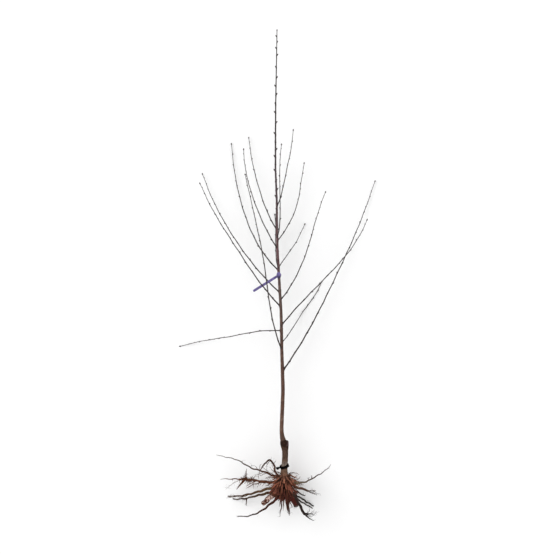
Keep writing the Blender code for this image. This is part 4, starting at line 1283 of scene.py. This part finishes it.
def makeCrownFibres():  # hair roots that hang off the crown, thickest beside the shank's foot
    look = crownFibreLook
    dice = random.Random("crown fibres")
    hairs = []
    for fan in fans.values():
        for path, _ in fanPaths(fan):
            hairs += hairsOn(path, *look["between"], dice, look["perRoot"])
    for _ in range(look["long"]):
        turn = dice.choice((0, 180)) + dice.uniform(-look["spread"], look["spread"])
        height = dice.uniform(*look["heights"])
        start = axisPoint(height) + heading(90, turn) * between(stemRows, height, 2) * look["sunk"]
        along = heading(dice.uniform(*look["leans"]), turn)
        hairs.append(fibrePath(start, heading(90, turn), along, dice, look["grown"]))
    for curl in curls:
        hairs.append(finePath(*limbPath(curl, curlRule, curlRule["tip"], dice), curlRule["spacing"])[:2])
    fibres = sweep("crownFibres", hairs, look["sides"])
    markPlaces(fibres)
    finish(fibres, ["stem"], rootBark)


makeCrownFibres()
print("crown fibres made")

tieLook = {
    "height": 0.049, "radius": 0.0019, "breadth": 2.2, "slack": 0.75, "gap": 0.0006,
    "tilt": 16.0, "dip": 13.0,  # its right side up the shank, and its near side down
    "wraps": (-1, 0, 1), "wrapStep": 0.0034, "wrapRadius": 0.0026, "points": 73,
    "cross": 0.0006, "uneven": 0.0003,  # the windings cross a little and aren't quite round
    "tail": 0.018, "tailLean": 108.0, "tailTurn": 165.0, "tailRadius": 0.0046,
    "tailEnds": ((0.13, 1.0), (-0.13, 0.9)), "tailLift": 0.06,  # how far each spreads, and its length
    "tailRows": ((0.0, 0.8), (0.25, 0.8), (0.5, 0.85), (0.75, 1.0), (0.95, 1.0), (1.0, 0.7)),
    "knot": (0.0018, 0.0032, 0.0024), "knotLag": 0.8, "knotRadius": 0.0019, "knotPoints": 13,
    "sides": 12,
}
# Black rubber tying band: matt, with dried soil rubbed into it.
tieRubber = speckledMaterial("blackTieRubber", {
    "roughness": 0.9, "gloss": 0.05, "grain": 350.0, "detail": 5.0,
    "tones": ((0.45, "#030202"), (0.85, "#100c0a")), "bump": (0.4, 0.0003),
})


def makeTie():
    look = tieLook
    middle = axisPoint(look["height"])
    tilt, dip = math.radians(look["tilt"]), math.radians(look["dip"])
    ringRadius = between(stemRows, look["height"], 2) + look["gap"] + look["radius"]
    ringRadius = ringRadius / math.cos(tilt) / math.cos(dip)
    ringRadius += look["radius"] * (look["breadth"] - 1) * (math.tan(tilt) + math.tan(dip)) * look["slack"]
    across = Vector((math.cos(tilt), math.sin(tilt), 0.0))
    deep = Matrix.Rotation(dip, 3, across) @ Vector((0.0, 0.0, 1.0))
    normal = across.cross(deep).normalized()
    runs = []
    for wrap in look["wraps"]:  # windings side by side
        points = []
        for number in range(look["points"]):
            angle = math.radians(number * 360 / (look["points"] - 1))
            drift = normal * (wrap * look["wrapStep"] + look["cross"] * math.sin(angle * 2 + wrap * 2.0))
            reach = ringRadius - look["uneven"] + look["uneven"] * math.sin(3 * angle + wrap)
            points.append(middle + across * math.cos(angle) * reach + deep * math.sin(angle) * reach + drift)
        runs.append((points, [look["wrapRadius"]] * len(points)))
    foot = middle - across * ringRadius
    way = heading(look["tailLean"], look["tailTurn"])
    for spread, length in look["tailEnds"]:
        aside = Vector((0.0, spread, look["tailLift"]))
        tail = [foot + (way + aside * share).normalized() * look["tail"] * length * share
                for share, _ in look["tailRows"]]
        runs.append((tail, [look["tailRadius"] * girth for _, girth in look["tailRows"]]))
    knot = []
    for number in range(look["knotPoints"]):
        angle = math.radians(number * 360 / (look["knotPoints"] - 1))
        turned = (math.cos(angle), math.sin(angle), math.sin(angle + look["knotLag"]))
        knot.append(foot + Vector([size * value for size, value in zip(look["knot"], turned)]))
    runs.append((knot, [look["knotRadius"]] * len(knot)))
    band = sweep("tieBand", runs, look["sides"])
    markPlaces(band)
    finish(band, ["tie"], tieRubber)


makeTie()
print("tie made")

labelLook = {
    "height": 0.811, "width": 0.010, "strapWidth": 0.0085, "thickness": 0.0007, "tilt": 26.0, "gap": 0.0009,
    "startTurn": 111.0, "loopSteps": 40,
    "tail": 0.118, "lean": 122.0, "sag": 0.010, "sagPower": 1.5, "tailSteps": 48, "tailLift": 0.0008,
    "twist": 5.0,  # of the tail, along its length
    "headLength": 0.024, "headWidth": 0.0180, "headBow": 0.018, "headThickness": 0.0010, "headSteps": 12,
    "headAt": (0.0020, 0.0008),  # over the loop, and across
}
# Soft PVC loop label: even lilac, satin, with painted shade on the head's lower half, where the strap goes
# through the slot.
labelPlastic = speckledMaterial("lilacLabelPlastic", {
    "roughness": 0.42, "gloss": 0.45, "grain": 120.0, "detail": 5.0,
    "tones": ((0.3, "#43376f"), (0.75, "#74689f")), "bump": (0.25, 0.0003), "shade": ("slotShade", "#2a2140"),
})


def ribbon(name, rows, thickness):  # a strip through rows of (centre, across, width)
    strip = added(bpy.ops.mesh.primitive_grid_add, name, x_subdivisions=len(rows) - 1, y_subdivisions=4,
                  size=2.0)
    for vertex in strip.data.vertices:
        index = round((vertex.co.x + 1.0) / 2 * (len(rows) - 1))
        centre, across, width = rows[index]
        vertex.co = centre + across * (vertex.co.y * width / 2)
    modify(strip, "SOLIDIFY", thickness=thickness, offset=0.0)
    modify(strip, "BEVEL", width=thickness * 0.3, segments=2, limit_method="ANGLE")
    return strip


def makeLabel():
    look = labelLook
    middle = axisPoint(look["height"])
    tilt = math.radians(look["tilt"])
    inner = between(stemRows, look["height"], 2) / math.cos(tilt) + look["strapWidth"] / 2 * math.tan(tilt)
    inner += look["gap"]
    across, deep = Vector((math.cos(tilt), math.sin(tilt), 0.0)), Vector((0.0, 0.0, 1.0))
    normal = Vector((-math.sin(tilt), math.cos(tilt), 0.0))

    def onLoop(turn, radius):
        angle = math.radians(turn)
        return middle + (across * math.cos(angle) + deep * math.sin(angle)) * radius

    rows = [(onLoop(look["startTurn"] + 360 / look["loopSteps"] * number, inner), normal, look["strapWidth"])
            for number in range(look["loopSteps"] + 1)]  # it closes round the stem
    loop = ribbon("labelLoop", rows, look["thickness"])
    start = onLoop(look["startTurn"], inner + look["tailLift"])
    direction = heading(look["lean"], 180)
    side = direction.cross(deep)
    rows = []
    for number in range(look["tailSteps"] + 1):
        share = number / look["tailSteps"]
        sag = deep * (look["sag"] * share ** look["sagPower"])
        twist = Matrix.Rotation(math.radians(look["twist"] * math.sin(share * 5.0)), 3, direction)
        width = look["width"] * (0.85 + 0.15 * min(1.0, share * 6)) * min(1.0, ((1.001 - share) * 40) ** 0.5)
        rows.append((start + direction * (look["tail"] * share) - sag, twist @ side, width))
    tail = ribbon("labelTail", rows, look["thickness"])
    rows = []
    over, aside = look["headAt"]
    for number in range(look["headSteps"] + 1):  # the slotted head that the strap is drawn through
        share = number / look["headSteps"] - 0.5
        bow = deep * (inner + over - look["headBow"] * share ** 2) - across * aside
        width = look["headWidth"] * (1.0 - 0.5 * abs(share * 2) ** 3)
        rows.append((middle + bow + (normal + across * 0.25) * look["headLength"] * share, across, width))
    head = ribbon("labelHead", rows, look["headThickness"])
    # painted shade where the strap goes through the slot, in the head's lower half
    markShare(head, "slotShade", [min(1.0, max(0.0, (middle.y - 0.0005 - vertex.co.y) / 0.004)) * 0.8
                                  for vertex in head.data.vertices])
    finish(joined("labelTape", [loop, tail, head]), ["label"], labelPlastic)


makeLabel()
print("label made")

bpy.data.objects.remove(budMaster, do_unlink=True)
